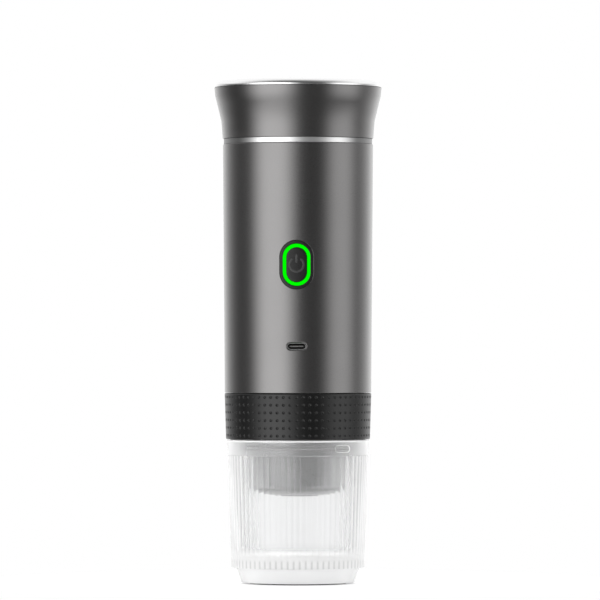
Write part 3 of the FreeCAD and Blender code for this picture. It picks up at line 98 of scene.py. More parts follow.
CUP_RIM_REACH = 0.45
CUP_RIM_OUTER_ROUND = 0.405
CUP_RIM_INNER_ROUND = 0.27
SOCKET_RADIUS = 32.2
SOCKET_ROUND = 0.3
PILL_HALF = 2.75
PILL_RADIUS = 1.5
PILL_LEVEL = 64.7
PILL_FLOOR = 33.2
PILL_TURN = 39.8
SPRING_RADIUS = 2.6
SPRING_WIRE = 0.2
SPRING_TURNS = 4
COLLAR_RADIUS = 33.0
GRIP_FOOT_RADIUS = 34.4
GRIP_TOP_RADIUS = 35.05
GRIP_REACH = 0.5
GRIP_ROUND = 0.45
DIMPLE_ROWS = 6
DIMPLE_FIRST = 70.9
DIMPLE_PITCH = 3.65
DIMPLE_RADIUS = 0.66
SHELL_FOOT = foot("main_shell")
SHELL_FOOT_RADIUS = 35.0
SHELL_TOP_RADIUS = 35.9
SHELL_WALL = 1.5
SHELL_EDGE = 0.2
SHELL_EDGE_ROUND = 0.16
RING_FOOT = 209.7
RING_TOP = 212.5
RING_RADIUS = 35.45
RING_EDGE = 0.35
SPIGOT_RADIUS = 34.2
SPIGOT_WALL = 1.0
SPIGOT_REACH = 3.4
SPIGOT_ROUND = 0.2
FLARE_FOOT_RADIUS = 36.0
FLARE_BEND = 53.5
FLARE_KNEE = 16.5
FLARE_BROW = 29.0
OVERALL_RADIUS = 40.0
OVERALL_HEIGHT = top("lid_bezel")
LID_DISH_RADIUS = 27.5
LID_DISH_FLOOR = 229.5
LID_DISH_ROUND = 1.5
LID_FLANGE_RADIUS = 37.5
LID_FLANGE_TOP = 238.8
LID_FLANGE_FOOT = 236.9
PLUG_RADIUS = 30.3
PLUG_BEVEL = 1.0
PLUG_ROUND = 0.5
SEAL_GROOVE_INNER = 32.8
SEAL_GROOVE_OUTER = 36.2
SEAL_GROOVE_TOP = 237.7
BEZEL_INNER = 36.6
BEZEL_ROUND = 2.6
TRIM_TOP = 239.4
TRIM_GAP = 0.02
BAR_HALF = 4.5
BAR_REACH = 28.2
BAR_TOP = 238.6
BAR_FILLET = 1.2
BAR_SUNK = 0.05
LID_LEAD = 12.0
LID_STARTS = 3
LID_THREAD_SPAN = 85.0
LID_THREAD_LEVEL = 228.8
LID_THREAD_RADIUS = 31.7
LID_THREAD_WIDTH = 1.4
THREAD_BEVEL = 0.25
THREAD_ROOT = 0.4
THREAD_RUN_IN = 12
THREAD_END = 0.02
BUTTON_LEVEL = 151.9
BUTTON_STRAIGHT = 3.6
BUTTON_SLOT_RADIUS = 8.0
BUTTON_BACK = 31.0
BUTTON_GAP = 0.03
LIGHT_STRAIGHT = 3.35
LIGHT_OUTER = 6.5
LIGHT_INNER = 5.08
CAP_RADIUS = 4.9
ICON_RADIUS = 3.85
ICON_STROKE = 1.05
ICON_GAP = 3.4
ICON_BAR_FOOT = 0.8
ICON_BAR_TOP = 4.9
ICON_SUNK = 0.2
ICON_ROOT = 0.5
ICON_EDGE = 0.04
ICON_TOP_SHARE = 0.84
USB_LEVEL = 113.3
USB_HALF = 2.87
USB_RADIUS = 1.6
USB_SLOT_RADIUS = 1.7
USB_OPENING = 1.28
USB_BEVEL = 0.08
USB_BEVEL_DEPTH = 0.1
USB_FRONT = 33.6
USB_BACK = 27.0
USB_BACK_RADIUS = 0.3
TONGUE_HALF = 3.35
TONGUE_THICKNESS = 0.7
TONGUE_FRONT = 33.0
TONGUE_BEVEL = 0.12
PAD_COUNT = 12
PAD_PITCH = 0.5
PAD_HALF = 0.13
PAD_START = 0.5
PAD_END = 4.5
PAD_PROUD = 0.02
PAD_BEVEL = 0.005

# The button's edges on the shell's curve: (distance outside a radius, height over the shell)
BEZEL_OUTER_EDGE = ((-0.03, -0.1), (-0.06, 0.13), (-0.14, 0.22), (-0.3, 0.25))
BEZEL_INNER_EDGE = ((0.22, 0.25), (0.08, 0.21), (0.03, 0.1))
LIGHT_OUTER_EDGE = ((0.0, 0.0), (-0.06, 0.11), (-0.2, 0.15))
LIGHT_INNER_EDGE = ((0.2, 0.15), (0.06, 0.11), (0.0, 0.0))
CAP_EDGE = (
    (0.0, -0.5), (-0.08, -0.33), (-0.28, -0.25), (-1.2, -0.25), (-2.4, -0.25), (-3.6, -0.25), (-4.5, -0.25),
)

# Pockets from the rim inward: (growth of the outline, depth below the surface around it), and
# (growth, 0, plane) for a ring that lies on a plane at that distance from the axis
HOLE_STEPS = ((0.0, 0),)
BUTTON_STEPS = ((0.45, 0), (0.2, 0), (0.08, 0.03), (0.02, 0.1), (0.0, 0.25))
USB_STEPS = ((0.75, 0), (0.46, 0), (0.4, 0.03), (0.05, 0.36), (0.0, 0.46))
DIMPLE_STEPS = ((0.28, 0), (0.1, 0), (0.0, 0.04), (-0.08, 0.12), (-0.24, 0.25), (-0.44, 0.33))
PILL_STEPS = (
    (0.5, 0), (0.35, 0), (0.17, 0.05), (0.05, 0.18), (0.0, 0.36), (0.0, 0, PILL_FLOOR + 0.25),
    (-0.12, 0, PILL_FLOOR + 0.05), (-0.35, 0, PILL_FLOOR), (-0.9, 0, PILL_FLOOR),
)
BUTTON_MARGIN = 3.0
USB_MARGIN = 2.0
DIMPLE_MARGIN = 0.46
PILL_MARGIN = 0.75

# How finely curved shapes are cut
COLUMNS = 240
RIB_COLUMNS = 10
GRIP_COLUMNS = 6
ARC_STEP = math.radians(9)
STADIUM_POINTS = 96
SPRING_STEPS = 36
SPRING_SIDES = 12
THREAD_STEPS = 40
ICON_STEPS = 40
ICON_BAR_STEPS = 6
ICON_END_STEPS = 6
BAR_FILLET_STEPS = 6
BAR_TOP_STEPS = 18
BAR_LENGTH_STEPS = 20

# Lengths under this count as nothing
TINY = 1e-6

SHARP_ANGLE = 40
SOFT_SHARP_ANGLE = 60
NO_NORMAL = (0.0, 0.0, 0.0)


def turn_at(index, count):
    """The angle of one of a number of equal steps round the axis."""
    return 2 * math.pi * index / count


def around(count):
    """Each index of a closed ring with the one after it."""
    return [(index, (index + 1) % count) for index in range(count)]


def angle_between(first, second):
    """The angle between two directions."""
    return math.acos(max(-1.0, min(1.0, first.dot(second) / (first.length * second.length))))


def placed(name, data):
    """A new object in the scene."""
    made = bpy.data.objects.new(name, data)
    bpy.context.scene.collection.objects.link(made)
    return made


class Solid:
    """Gathers corners, faces and corner normals in millimetres, then makes one mesh of them."""

    def __init__(self):
        self.points = []
        self.faces = []
        self.normals = []

    def point(self, x, y, z):
        """A new point; returns its number."""
        self.points.append((x * MM, y * MM, z * MM))
        return len(self.points) - 1

    def polar(self, radius, turn, level):
        """A point at an angle counted from the front, towards the right."""
        return self.point(radius * math.sin(turn), -radius * math.cos(turn), level)

    def ring(self, place, columns):
        """A ring of points about the axis at a (radius, level); on the axis it is one point."""
        if place[0] < TINY:
            return [self.point(0, 0, place[1])] * columns
        return [self.polar(place[0], turn_at(index, columns), place[1]) for index in range(columns)]

    def face(self, corners, normals=None):
        """A face; corners that coincide are left out, and no normal means an automatic one."""
        kept = []
        kept_normals = []
        for index, corner in enumerate(corners):
            if corner not in kept:
                kept.append(corner)
                kept_normals.append(normals[index] if normals else NO_NORMAL)
        if len(kept) > 2:
            self.faces.append(kept)
            self.normals.append(kept_normals)

    def bridge(self, first, second):
        """A strip between two rings that have the same number of points."""
        for here, there in around(len(first)):
            self.face([first[here], first[there], second[there], second[here]])

    def skin(self, rings):
        """Strips from each ring to the next one."""
        for first, second in zip(rings, rings[1:]):
            self.bridge(first, second)

    def tube(self, rings):
        """A closed solid through rings that run clockwise as seen from its far end."""
        self.skin(rings[::-1])
        self.face(rings[0])
        self.face(rings[-1][::-1])

    def mesh(self, name, slot, body, *nodes, look=None, sharp=SHARP_ANGLE):
        """The finished piece: it rides on its body and stands for its CAD nodes."""
        data = bpy.data.meshes.new(name)
        data.from_pydata(self.points, [], self.faces)
        data.polygons.foreach_set("use_smooth", [True] * len(data.polygons))
        data.set_sharp_from_angle(angle=math.radians(sharp))
        normals = [normal for face in self.normals for normal in face]
        if any(any(normal) for normal in normals):
            data.normals_split_custom_set(normals)
        data.materials.append(MATERIALS[look or slot])
        data.validate()
        piece = placed(name, data)
        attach(piece, body)
        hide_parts(*nodes)
        return piece


def arc(start, stop, bend):
    """Points and outward normals along an arc; its centre is left of the way when bend is positive."""
    way = stop - start
    left = Vector((-way.y, way.x)).normalized()
    rise = math.sqrt(max(bend * bend - way.length_squared / 4, 0.0))
    centre = (start + stop) / 2 + left * math.copysign(rise, bend)
    first = start - centre
    angle = angle_between(first, stop - centre)
    steps = max(2, math.ceil(angle / ARC_STEP))
    made = []
    for index in range(steps + 1):
        arm = Matrix.Rotation(math.copysign(angle / steps, bend) * index, 2) @ first
        made.append((centre + arm, arm.normalized() * math.copysign(1, bend)))
    return made


def rounded(corners):
    """Corners of (radius, level, round) with each rounded corner as two corners and the arc between."""
    made = []
    for index, corner in enumerate(corners):
        if len(corner) == 2:
            made.append(tuple(corner))
            continue
        here = Vector(corner[:2])
        before = (Vector(corners[index - 1][:2]) - here).normalized()
        after = (Vector(corners[(index + 1) % len(corners)][:2]) - here).normalized()
        step = corner[2] / math.tan(angle_between(before, after) / 2)
        turn_left = before.x * after.y - before.y * after.x < 0
        made.append((*(here + before * step), corner[2] if turn_left else -corner[2]))
        made.append(tuple(here + after * step))
    return made


def runs(outline):
    """Short straight pieces of a closed outline: (start, stop, normal at start, normal at stop)."""
    made = []
    for index, corner in enumerate(outline):
        start = Vector(corner[:2])
        stop = Vector(outline[(index + 1) % len(outline)][:2])
        way = stop - start
        if way.length < TINY:
            continue
        if len(corner) == 3:
            stations = arc(start, stop, corner[2])
            for (first, first_normal), (second, second_normal) in zip(stations, stations[1:]):
                made.append((first, second, first_normal, second_normal))
            continue
        normal = Vector((way.y, -way.x)).normalized()
        made.append((start, stop, normal, normal))
    return made


def turned_normal(normal, turn):
    """A normal of an outline, carried round the axis."""
    return (normal.x * math.sin(turn), -normal.x * math.cos(turn), normal.y)


def sweep(solid, pieces, rings, columns):
    """Adds the faces between neighbouring rings; pieces are the outline's runs between them."""
    for number, (_, _, start_normal, stop_normal) in enumerate(pieces):
        low = rings[number]
        high = rings[number + 1]
        for index, following in around(columns):
            here = turn_at(index, columns)
            there = turn_at(index + 1, columns)
            solid.face(
                [low[index], low[following], high[following], high[index]],
                [turned_normal(start_normal, here), turned_normal(start_normal, there),
                 turned_normal(stop_normal, there), turned_normal(stop_normal, here)],
            )


def turn_about(solid, outline):
    """Adds the surface that a closed outline of (radius, level[, bend]) makes about the axis."""
    pieces = runs(outline)
    rings = [solid.ring(start, COLUMNS) for start, _, _, _ in pieces]
    if outline[0][0] < TINY:
        pieces.pop()
    sweep(solid, pieces, [*rings, rings[0]], COLUMNS)


def revolve_open(solid, stations, first_ring=None, last_ring=None, columns=COLUMNS):
    """Adds the surface of an open outline; its end rings may be rings that are there already."""
    pieces = runs(rounded(stations))[:-1]
    rings = [first_ring or solid.ring(pieces[0][0], columns)]
    rings += [solid.ring(stop, columns) for _, stop, _, _ in pieces[:-1]]
    rings.append(last_ring or solid.ring(pieces[-1][1], columns))
    sweep(solid, pieces, rings, columns)


class Pocket:
    """A round-ended recess or hole in a band, facing along one direction square to the axis."""

    def __init__(self, turn, level, straight, radius, upright, steps, margin, closed=False):
        self.turn = math.radians(turn)
        self.level = level
        self.straight = straight
        self.radius = radius
        self.upright = upright
        self.steps = steps
        self.margin = margin
        self.closed = closed

    def spread(self):
        """Half width and half height of the patch round the pocket."""
        end = self.radius + self.margin
        long_half = end + self.straight
        return (end, long_half) if self.upright else (long_half, end)

    def outline_point(self, across, up, growth):
        """The point of the grown outline that faces a point beside the pocket."""
        if self.upright:
            middle = Vector((0.0, max(-self.straight, min(self.straight, up))))
        else:
            middle = Vector((max(-self.straight, min(self.straight, across)), 0.0))
        way = Vector((across, up)) - middle
        return middle + way.normalized() * (self.radius + growth)


class Band:
    """A conical band from (radius, level) low to high, with pockets fitted into its grid.

    bottom and top are its end rings, and ends holds the last ring of each pocket."""

    def __init__(self, solid, low, high, columns, pockets, inward=False):
        self.solid = solid
        self.low = low
        self.slope = (high[0] - low[0]) / (high[1] - low[1])
        self.tilt = Vector((1.0, -self.slope)).normalized() * (-1 if inward else 1)
        self.columns = columns
        self.inward = inward
        self.grid = {}
        zones = [self.zone(pocket) for pocket in pockets]
        self.marks = sorted({low[1], high[1]}.union(*(rows for _, _, _, rows in zones)))
        self.fill({
            (mark, column % columns)
            for _, left, right, rows in zones
            for mark in self.within(rows)[:-1]
            for column in range(left, right)
        })
        self.ends = [self.sink(*zone) for zone in zones]
        self.bottom = [self.corner(low[1], column) for column in range(columns)]
        self.top = [self.corner(high[1], column) for column in range(columns)]

    def radius(self, level):
        """The band's radius at a level."""
        return self.low[0] + self.slope * (level - self.low[1])

    def zone(self, pocket):
        """A pocket with the columns and rows that its patch of the grid lies between."""
        half_width, half_height = pocket.spread()
        angle = math.asin(min(1.0, half_width / self.radius(pocket.level)))
        step = turn_at(1, self.columns)
        left = math.floor((pocket.turn - angle) / step)
        right = math.ceil((pocket.turn + angle) / step)
        bottom = pocket.level - half_height
        height = pocket.level + half_height - bottom
        pieces = max(2, round(height / (step * self.low[0])))
        rows = [round(bottom + height * index / pieces, 4) for index in range(pieces + 1)]
        return pocket, left, right, rows

    def within(self, rows):
        """All the grid's marks from the first of these rows to the last."""
        return [mark for mark in self.marks if rows[0] - TINY <= mark <= rows[-1] + TINY]

    def corner(self, level, column):
        """The grid's point at a level and column."""
        key = (level, column % self.columns)
        if key not in self.grid:
            self.grid[key] = self.solid.polar(self.radius(level), turn_at(key[1], self.columns), level)
        return self.grid[key]

    def add(self, corners, turns):
        """A face with the band's own normals at these turns, or automatic ones where it's None."""
        normals = [NO_NORMAL if turn is None else turned_normal(self.tilt, turn) for turn in turns]
        order = -1 if self.inward else 1
        self.solid.face(corners[::order], normals[::order])

    def fill(self, covered):
        """The plain part of the grid, apart from the cells that pockets cover."""
        for below, above in zip(self.marks, self.marks[1:]):
            for column in range(self.columns):
                if (below, column) in covered:
                    continue
                here = turn_at(column, self.columns)
                there = turn_at(column + 1, self.columns)
                self.add([self.corner(below, column), self.corner(below, column + 1),
                          self.corner(above, column + 1), self.corner(above, column)],
                         [here, there, there, here])

    def sink(self, pocket, left, right, rows):
        """Builds a pocket into its patch of the grid; returns its last ring."""
        rows = self.within(rows)
        spots = [(rows[0], column) for column in range(left, right)]
        spots += [(row, right) for row in rows[:-1]]
        spots += [(rows[-1], column) for column in range(right, left, -1)]
        spots += [(row, left) for row in rows[:0:-1]]
        ring = [self.corner(level, column) for level, column in spots]
        turns = [turn_at(column, self.columns) for _, column in spots]
        places = [
            (self.radius(level) * math.sin(turn - pocket.turn), level - pocket.level)
            for (level, _), turn in zip(spots, turns)
        ]
        for step in pocket.steps:
            inner, inner_turns = self.pocket_ring(pocket, places, *step)
            smooth = inner_turns[0] is not None
            for here, there in around(len(ring)):
                corners = [ring[here], ring[there], inner[there], inner[here]]
                own = [turns[here], turns[there], inner_turns[there], inner_turns[here]]
                self.add(corners, own if smooth else [None] * 4)
            ring = inner
            turns = inner_turns
        if pocket.closed:
            add_floor(self.solid, ring, self.inward)
        return ring

    def pocket_ring(self, pocket, places, growth, depth, plane=None):
        """One ring of a pocket, with its turns where it lies on the band's surface."""
        ring = []
        turns = []
        for across, up in places:
            spot = pocket.outline_point(across, up, growth)
            level = pocket.level + spot.y
            if plane is None:
                angle = math.asin(max(-1.0, min(1.0, spot.x / self.radius(level))))
                distance = self.radius(level) - depth
            else:
                angle = math.atan2(spot.x, plane)
                distance = math.hypot(spot.x, plane)
            ring.append(self.solid.polar(distance, pocket.turn + angle, level))
            turns.append(pocket.turn + angle if plane is None and depth == 0 else None)
        return ring, turns


def add_floor(solid, ring, flipped):
    """Closes a ring of points with a fan about its middle."""
    spots = np.array([solid.points[index] for index in ring]) / MM
    centre = solid.point(*spots.mean(0))
    for here, there in around(len(ring)):
        pair = [ring[there], ring[here]] if flipped else [ring[here], ring[there]]
        solid.face([*pair, centre])


def close_across(solid, ring, upright):
    """Closes a ring of stadium_ring, which is symmetric, with a strip straight across it."""
    count = len(ring)
    shift = 0 if upright else count // 4
    order = ring[shift:] + ring[:shift]
    for step in range(count // 2 - 1):
        solid.face([order[step], order[step + 1], order[-2 - step], order[-1 - step]])


def shell_radius(level):
    """Outer radius of the main shell's cone."""
    share = (level - SHELL_FOOT) / (RING_FOOT - SHELL_FOOT)
    return SHELL_FOOT_RADIUS + (SHELL_TOP_RADIUS - SHELL_FOOT_RADIUS) * share


def on_shell(growth):
    """How far in front of the axis the shell's cone lies, moved outward by a growth."""
    return lambda across, level: math.sqrt((shell_radius(level) + growth) ** 2 - across ** 2)


def on_plane(distance):
    """A plane at a distance in front of the axis."""
    return lambda across, level: distance


def stadium_ring(solid, straight, radius, level, upright, surface):
    """A ring of points on a round-ended outline; surface gives the distance in front of the axis."""
    ring = []
    for index in range(STADIUM_POINTS):
        turn = turn_at(index + 0.5, STADIUM_POINTS)
        across = radius * math.sin(turn)
        up = -radius * math.cos(turn)
        if upright:
            up += math.copysign(straight, up)
        else:
            across += math.copysign(straight, across)
        ring.append(solid.point(across, -surface(across, level + up), level + up))
    return ring


def stadium_piece(name, straight, level, upright, rings, closed, slot, body, node):
    """A round-ended piece from rings of (radius, surface), from the back round the outside. A closed
    one is a loop round its opening; the others have a face across both ends."""
    solid = Solid()
    made = [stadium_ring(solid, straight, radius, level, upright, surface) for radius, surface in rings]
    solid.skin(made)
    if closed:
        solid.bridge(made[-1], made[0])
    else:
        close_across(solid, made[-1], upright)
        close_across(solid, made[0][::-1], upright)
    return solid.mesh(name, slot, body, node)


def grey(value, warm=0.0):
    """A neutral colour, or one leaning to red by a share."""
    return (value * (1 + warm), value, value * (1 - warm * 0.3))


class Net:
    """Adds nodes to a shader's tree. Values are numbers, colours or sockets."""

    def __init__(self, holder):
        holder.use_nodes = True
        self.tree = holder.node_tree

    def put(self, node, **inputs):
        """Feeds inputs of a node by name."""
        for name, value in inputs.items():
            socket = node.inputs[name.replace("_", " ")]
            if isinstance(value, bpy.types.NodeSocket):
                self.tree.links.new(value, socket)
            else:
                socket.default_value = (*value, 1.0) if socket.type == "RGBA" else value

    def surface(self, **inputs):
        """Feeds inputs of the main shader by name."""
        self.put(self.tree.nodes["Principled BSDF"], **inputs)

    def node(self, kind, settings=(), **inputs):
        """A new node with its settings and its fed inputs; returns its outputs."""
        made = self.tree.nodes.new("ShaderNode" + kind)
        for name, value in settings:
            setattr(made, name, value)
        self.put(made, **inputs)
        return made.outputs

    def math(self, operation, value, *others):
        """One operation on a value, or over several values in turn."""
        for other in others or (None,):
            made = self.tree.nodes.new("ShaderNodeMath")
            made.operation = operation
            for index, fed in enumerate((value, other)):
                if isinstance(fed, bpy.types.NodeSocket):
                    self.tree.links.new(fed, made.inputs[index])
                elif fed is not None:
                    made.inputs[index].default_value = fed
            value = made.outputs["Value"]
        return value

    def times(self, *values):
        """The product of several values."""
        return self.math("MULTIPLY", *values)

    def most(self, *values):
        """The highest of several values."""
        return self.math("MAXIMUM", *values)

    def ramp(self, kind, value, start, stop, low, high):
        """A change from low to high while a value goes from start to stop."""
        return self.node("MapRange", [("interpolation_type", kind)], Value=value, From_Min=start,
                         From_Max=stop, To_Min=low, To_Max=high)["Result"]

    def fade(self, value, start, stop, low=0.0, high=1.0):
        """A smooth change from low to high while a value goes from start to stop."""
        return self.ramp("SMOOTHSTEP", value, start, stop, low, high)

    def spread(self, value, low, high):
        """Maps a noise value around its middle to a range."""
        return self.ramp("LINEAR", value, *NOISE_RANGE, low, high)

    def mix(self, share, first, second, kind="RGBA"):
        """Turns from one value into another as a share goes from 0 to 1."""
        return self.node("Mix", [("data_type", kind)], Factor=share, A=first, B=second)["Result"]

    def noise(self, scale, detail, stretch=(1, 1, 1)):
        """A noise texture in the piece's own metres."""
        place = self.node("Mapping", Scale=stretch, Vector=self.node("TexCoord")["Object"])
        return self.node("TexNoise", Scale=scale, Detail=detail, Vector=place["Vector"])["Fac"]

    def tinted(self, value, colour, change):
        """A colour that grows lighter and darker by a share with a noise value."""
        darker = [channel * (1 - change) for channel in colour]
        lighter = [min(1.0, channel * (1 + change)) for channel in colour]
        return self.mix(self.spread(value, 0.0, 1.0), darker, lighter)

    def axes(self, kind="TexCoord", output="Object"):
        """The X, Y and Z sockets of a place or a direction."""
        return self.node("SeparateXYZ", Vector=self.node(kind)[output])

    def aside(self, limits, low=0.0, high=1.0):
        """A change from low to high as a surface turns away from the eye."""
        return self.fade(self.node("LayerWeight", Blend=0.5)["Facing"], *limits, low, high)

    def flat(self):
        """0 on upright walls and 1 on level faces."""
        rise = self.math("ABSOLUTE", self.axes("NewGeometry", "Normal")["Z"])
        return self.fade(rise, *UPRIGHT_RISE)

    def paint_over(self, *layers):
        """Lays greys over the colour so far, each by its own share."""
        base = self.tree.nodes["Principled BSDF"].inputs["Base Color"]
        colour = base.links[0].from_socket
        for share, value in layers:
            colour = self.mix(share, colour, grey(value))
        self.surface(Base_Color=colour)


def finish(name, colour, roughness, metallic, change=0.05, grain=2500.0, bump=0.02, height=0.05,
           stretch=(1, 1, 1)):
    """A moulded or metal surface: faint cloudiness, fine grain in gloss and relief."""
    material = bpy.data.materials.new(name)
    net = Net(material)
    fine = net.noise(grain, GRAIN_DETAIL, stretch)
    net.surface(
        Base_Color=net.tinted(net.noise(*CLOUD), colour, change),
        Roughness=net.spread(fine, roughness * (1 - GLOSS_CHANGE), roughness * (1 + GLOSS_CHANGE)),
        Normal=net.node("Bump", Strength=bump, Distance=height * MM, Height=fine)["Normal"],
        Metallic=metallic,
    )
    return material


# The middle of a noise texture's values, the cloudiness of every finish (scale, detail), its grain's
# detail and how much that changes the gloss, and a normal's rise from upright walls to level faces
NOISE_RANGE = (0.3, 0.7)
CLOUD = (60.0, 3.0)
GRAIN_DETAIL = 2.0
GLOSS_CHANGE = 0.15
UPRIGHT_RISE = (0.25, 0.6)

# Colour, roughness, metallic, and for what is seen: change of colour, scale of the grain, strength
# and height of its relief in millimetres, and its stretch
FINISHES = {
    "gunmetal": (grey(0.185, 0.02), 0.30, 1.0, 0.02, 7000.0, 0.05, 0.01),
    "polished_metal": (grey(0.90), 0.19, 1.0, 0.02, 5000.0, 0.02, 0.01),
    "bright_ring": (grey(0.92), 0.36, 1.0, 0.01, 5000.0, 0.02, 0.01),
    "lid_trim_metal": (grey(0.30, 0.01), 0.26, 1.0, 0.02, 900.0, 0.08, 0.01, (1, 1, 8)),
    "grip_rubber": (grey(0.004), 0.32, 0.0, 0.10, 4500.0, 0.25, 0.03),
    "button_black": (grey(0.006), 0.42, 0.0, 0.06, 6000.0, 0.10, 0.02),
    "icon_grey": (grey(0.038), 0.45, 0.0, 0.05, 6000.0, 0.05, 0.02),
    "light_guide": ((0.0, 0.12, 0.0), 0.6, 0.0, 0.03, 3000.0, 0.03, 0.02),
    "lid_plastic": (grey(0.022), 0.40, 0.0, 0.06, 3500.0, 0.15, 0.03),
    "usb_steel": (grey(0.55), 0.22, 1.0, 0.03, 6000.0, 0.05, 0.01),
    "usb_plastic": (grey(0.13), 0.5, 0.0, 0.05, 6000.0, 0.05, 0.01),
    "contact_gold": ((0.75, 0.52, 0.2), 0.25, 1.0, 0.03, 6000.0, 0.03, 0.01),
    "collar_plastic": (grey(0.21), 0.34, 1.0, 0.04, 3000.0, 0.10, 0.02),
    "chamber_plastic": (grey(0.15), 0.30, 1.0, 0.04, 3000.0, 0.10, 0.02),
    "seal_rubber": (grey(0.21), 0.40, 1.0, 0.04, 3000.0, 0.10, 0.02),
    "foot_silicone": (grey(0.05), 0.55, 0.0),
    "bearing_plastic": (grey(0.75), 0.35, 0.0),
    "stainless": (grey(0.62, 0.01), 0.24, 1.0),
    "spring_steel": (grey(0.55), 0.25, 1.0),
    "nozzle_plastic": (grey(0.10), 0.38, 0.0),
    "valve_rubber": ((0.35, 0.06, 0.04), 0.5, 0.0),
    "group_plastic": (grey(0.06), 0.4, 0.0),
    "mouth_plastic": (grey(0.05), 0.42, 0.0),
    "heater_aluminium": (grey(0.6), 0.35, 1.0),
    "sensor_ceramic": (grey(0.7, 0.05), 0.5, 0.0),
    "tray_plastic": (grey(0.07), 0.45, 0.0),
    "zinc_steel": (grey(0.5, 0.02), 0.35, 1.0),
    "cell_wrap": ((0.03, 0.12, 0.3), 0.3, 0.0),
    "nickel": (grey(0.6, 0.03), 0.25, 1.0),
    "magnet": (grey(0.12), 0.5, 0.6),
    "motor_steel": (grey(0.5), 0.28, 1.0),
    "endcap_plastic": (grey(0.7), 0.4, 0.0),
    "pump_plastic": (grey(0.55, 0.02), 0.4, 0.0),
    "gear_plastic": (grey(0.75, 0.03), 0.35, 0.0),
    "hose_silicone": (grey(0.7), 0.3, 0.0),
    "circuit_board": ((0.01, 0.08, 0.03), 0.35, 0.0),
    "board_components": (grey(0.03), 0.4, 0.0),
    "led_white": (grey(0.8), 0.3, 0.0),
}
MATERIALS = {name: finish(name, *values) for name, values in FINISHES.items()}

COAT_WEIGHT = 0.6
COAT_ROUGHNESS = 0.22
LIGHT_CLOUD = (250.0, 1.0)
LIGHT_COLOUR = (0.0, 0.97, 0.0)
LIGHT_CHANGE = 0.03
LIGHT_STRENGTH = 0.95

# Painted light: the bright ring's colour is painted a duller grey on its flanks as they turn away from the
# eye (painted shade), the port's inside is painted darker (painted shade), and the inner plastics turn from
# glossy to pale and matte at a slant (painted sheen); these have a grey seen at a slant and a painted shade
# grey for their level faces
RING_SHADE_SLANT = (0.12, 0.42)
RING_PAINTED_SHADE_GREY = 0.27
USB_PAINTED_SHADE_DEPTH = (-0.03345, -0.0331)
USB_PAINTED_SHADE_GREY = 0.015
PAINTED_SHEEN_SLANT = (0.08, 0.30)
# Each inner plastic's painted sheen grey at a slant and painted shade grey on its level faces
PAINTED_SHEEN_AND_SHADE = {
    "collar_plastic": (0.36, 0.05),
    "chamber_plastic": (0.29, 0.12),
    "seal_rubber": (0.36, 0.3),
}


def light_up_guide(net):
    """The button's light guide, lit from behind, with its even glow from real emission."""
    glow = net.tinted(net.noise(*LIGHT_CLOUD), LIGHT_COLOUR, LIGHT_CHANGE)
    net.surface(Specular_IOR_Level=0.0, Emission_Color=glow, Emission_Strength=LIGHT_STRENGTH)


def paint_sheen_and_shade(net, sheen_grey, level_shade_grey):
    """Dark moulded plastic that is glossy seen straight on, with a painted sheen that turns it pale and
    matte at a slant, and painted shade on its level faces.
    """
    aside = net.aside(PAINTED_SHEEN_SLANT)
    flat = net.flat()
    net.paint_over((aside, sheen_grey), (flat, level_shade_grey))
    net.surface(Metallic=net.math("SUBTRACT", 1.0, net.most(aside, flat)))


Net(MATERIALS["gunmetal"]).surface(Coat_Weight=COAT_WEIGHT, Coat_Roughness=COAT_ROUGHNESS)
light_up_guide(Net(MATERIALS["light_guide"]))
# Painted shade: the ring's colour turns to a darker grey on its flanks
ring_net = Net(MATERIALS["bright_ring"])
ring_net.paint_over((ring_net.aside(RING_SHADE_SLANT), RING_PAINTED_SHADE_GREY))
# Painted shade: the port's steel is painted darker inside its mouth
port_net = Net(MATERIALS["usb_steel"])
port_net.paint_over((port_net.fade(port_net.axes()["Y"], *USB_PAINTED_SHADE_DEPTH), USB_PAINTED_SHADE_GREY))
# Painted sheen on the inner plastics' slanted flanks and painted shade on their level faces
for sheen_shade_name, sheen_shade_greys in PAINTED_SHEEN_AND_SHADE.items():
    paint_sheen_and_shade(Net(MATERIALS[sheen_shade_name]), *sheen_shade_greys)

# Cup: how clear its plastic is, and where it turns milkier (from, to, share, share); the first
# pair is how far the surface turns away from the eye, the others are levels in metres
CUP_IOR = 1.4
CUP_CLOUD = (90.0, 3.0)
CUP_GRAIN = (3000.0, 2.0)
CUP_ROUGHNESS = (0.015, 0.03)
CUP_COLOUR = (0.965, 0.967, 0.97)
CUP_COLOUR_CHANGE = 0.008
CUP_CLEAR = 0.892
CUP_CLOUDED = 0.872
CUP_SIDE_MILK = (0.1, 0.8)
CUP_SIDE_CLEAR = (1.0, 0.2)
CUP_BASE_MILK = (0.0125, 0.019, 0.1, 1.0)
CUP_RIM_MILK = (0.0674, 0.0683, 1.0, 0.3)
CUP_CAVITY_RADIUS = 0.0305
CUP_CAVITY_LEVEL = 0.0118
# Painted shade: a greyer band low in the cup's base, from its foot up to where it fades out
CUP_BASE_SHADE_FOOT = (0.0074, 0.0082)
CUP_BASE_SHADE_TOP = (0.0125, 0.019, 1.0, 0.0)
CUP_BASE_SHADE_GREY = 0.85
# Painted shade: greyer on the cup's flanks as they turn away from the eye
CUP_FLANK_SHADE = (0.35, 0.8)
CUP_FLANK_SHADE_GREY = 0.84
# Painted shade: greyer between the ribs near their foot
GROOVE_SHADE_DEPTHS = (0.00002, 0.00012)
GROOVE_SHADE_LEVELS = (0.0105, 0.0125, 1.0, 0.0)
GROOVE_SHADE_GREY = 0.66
PILL_EDGE_RADII = (0.0336, 0.03418)
PILL_EDGE_LEVELS = (0.0625, 0.067)
PILL_EDGE_SHARE = 0.25


def between(net, value, low, high):
    """1 where a value lies between two limits, otherwise 0."""
    return net.times(net.math("GREATER_THAN", value, low), net.math("LESS_THAN", value, high))


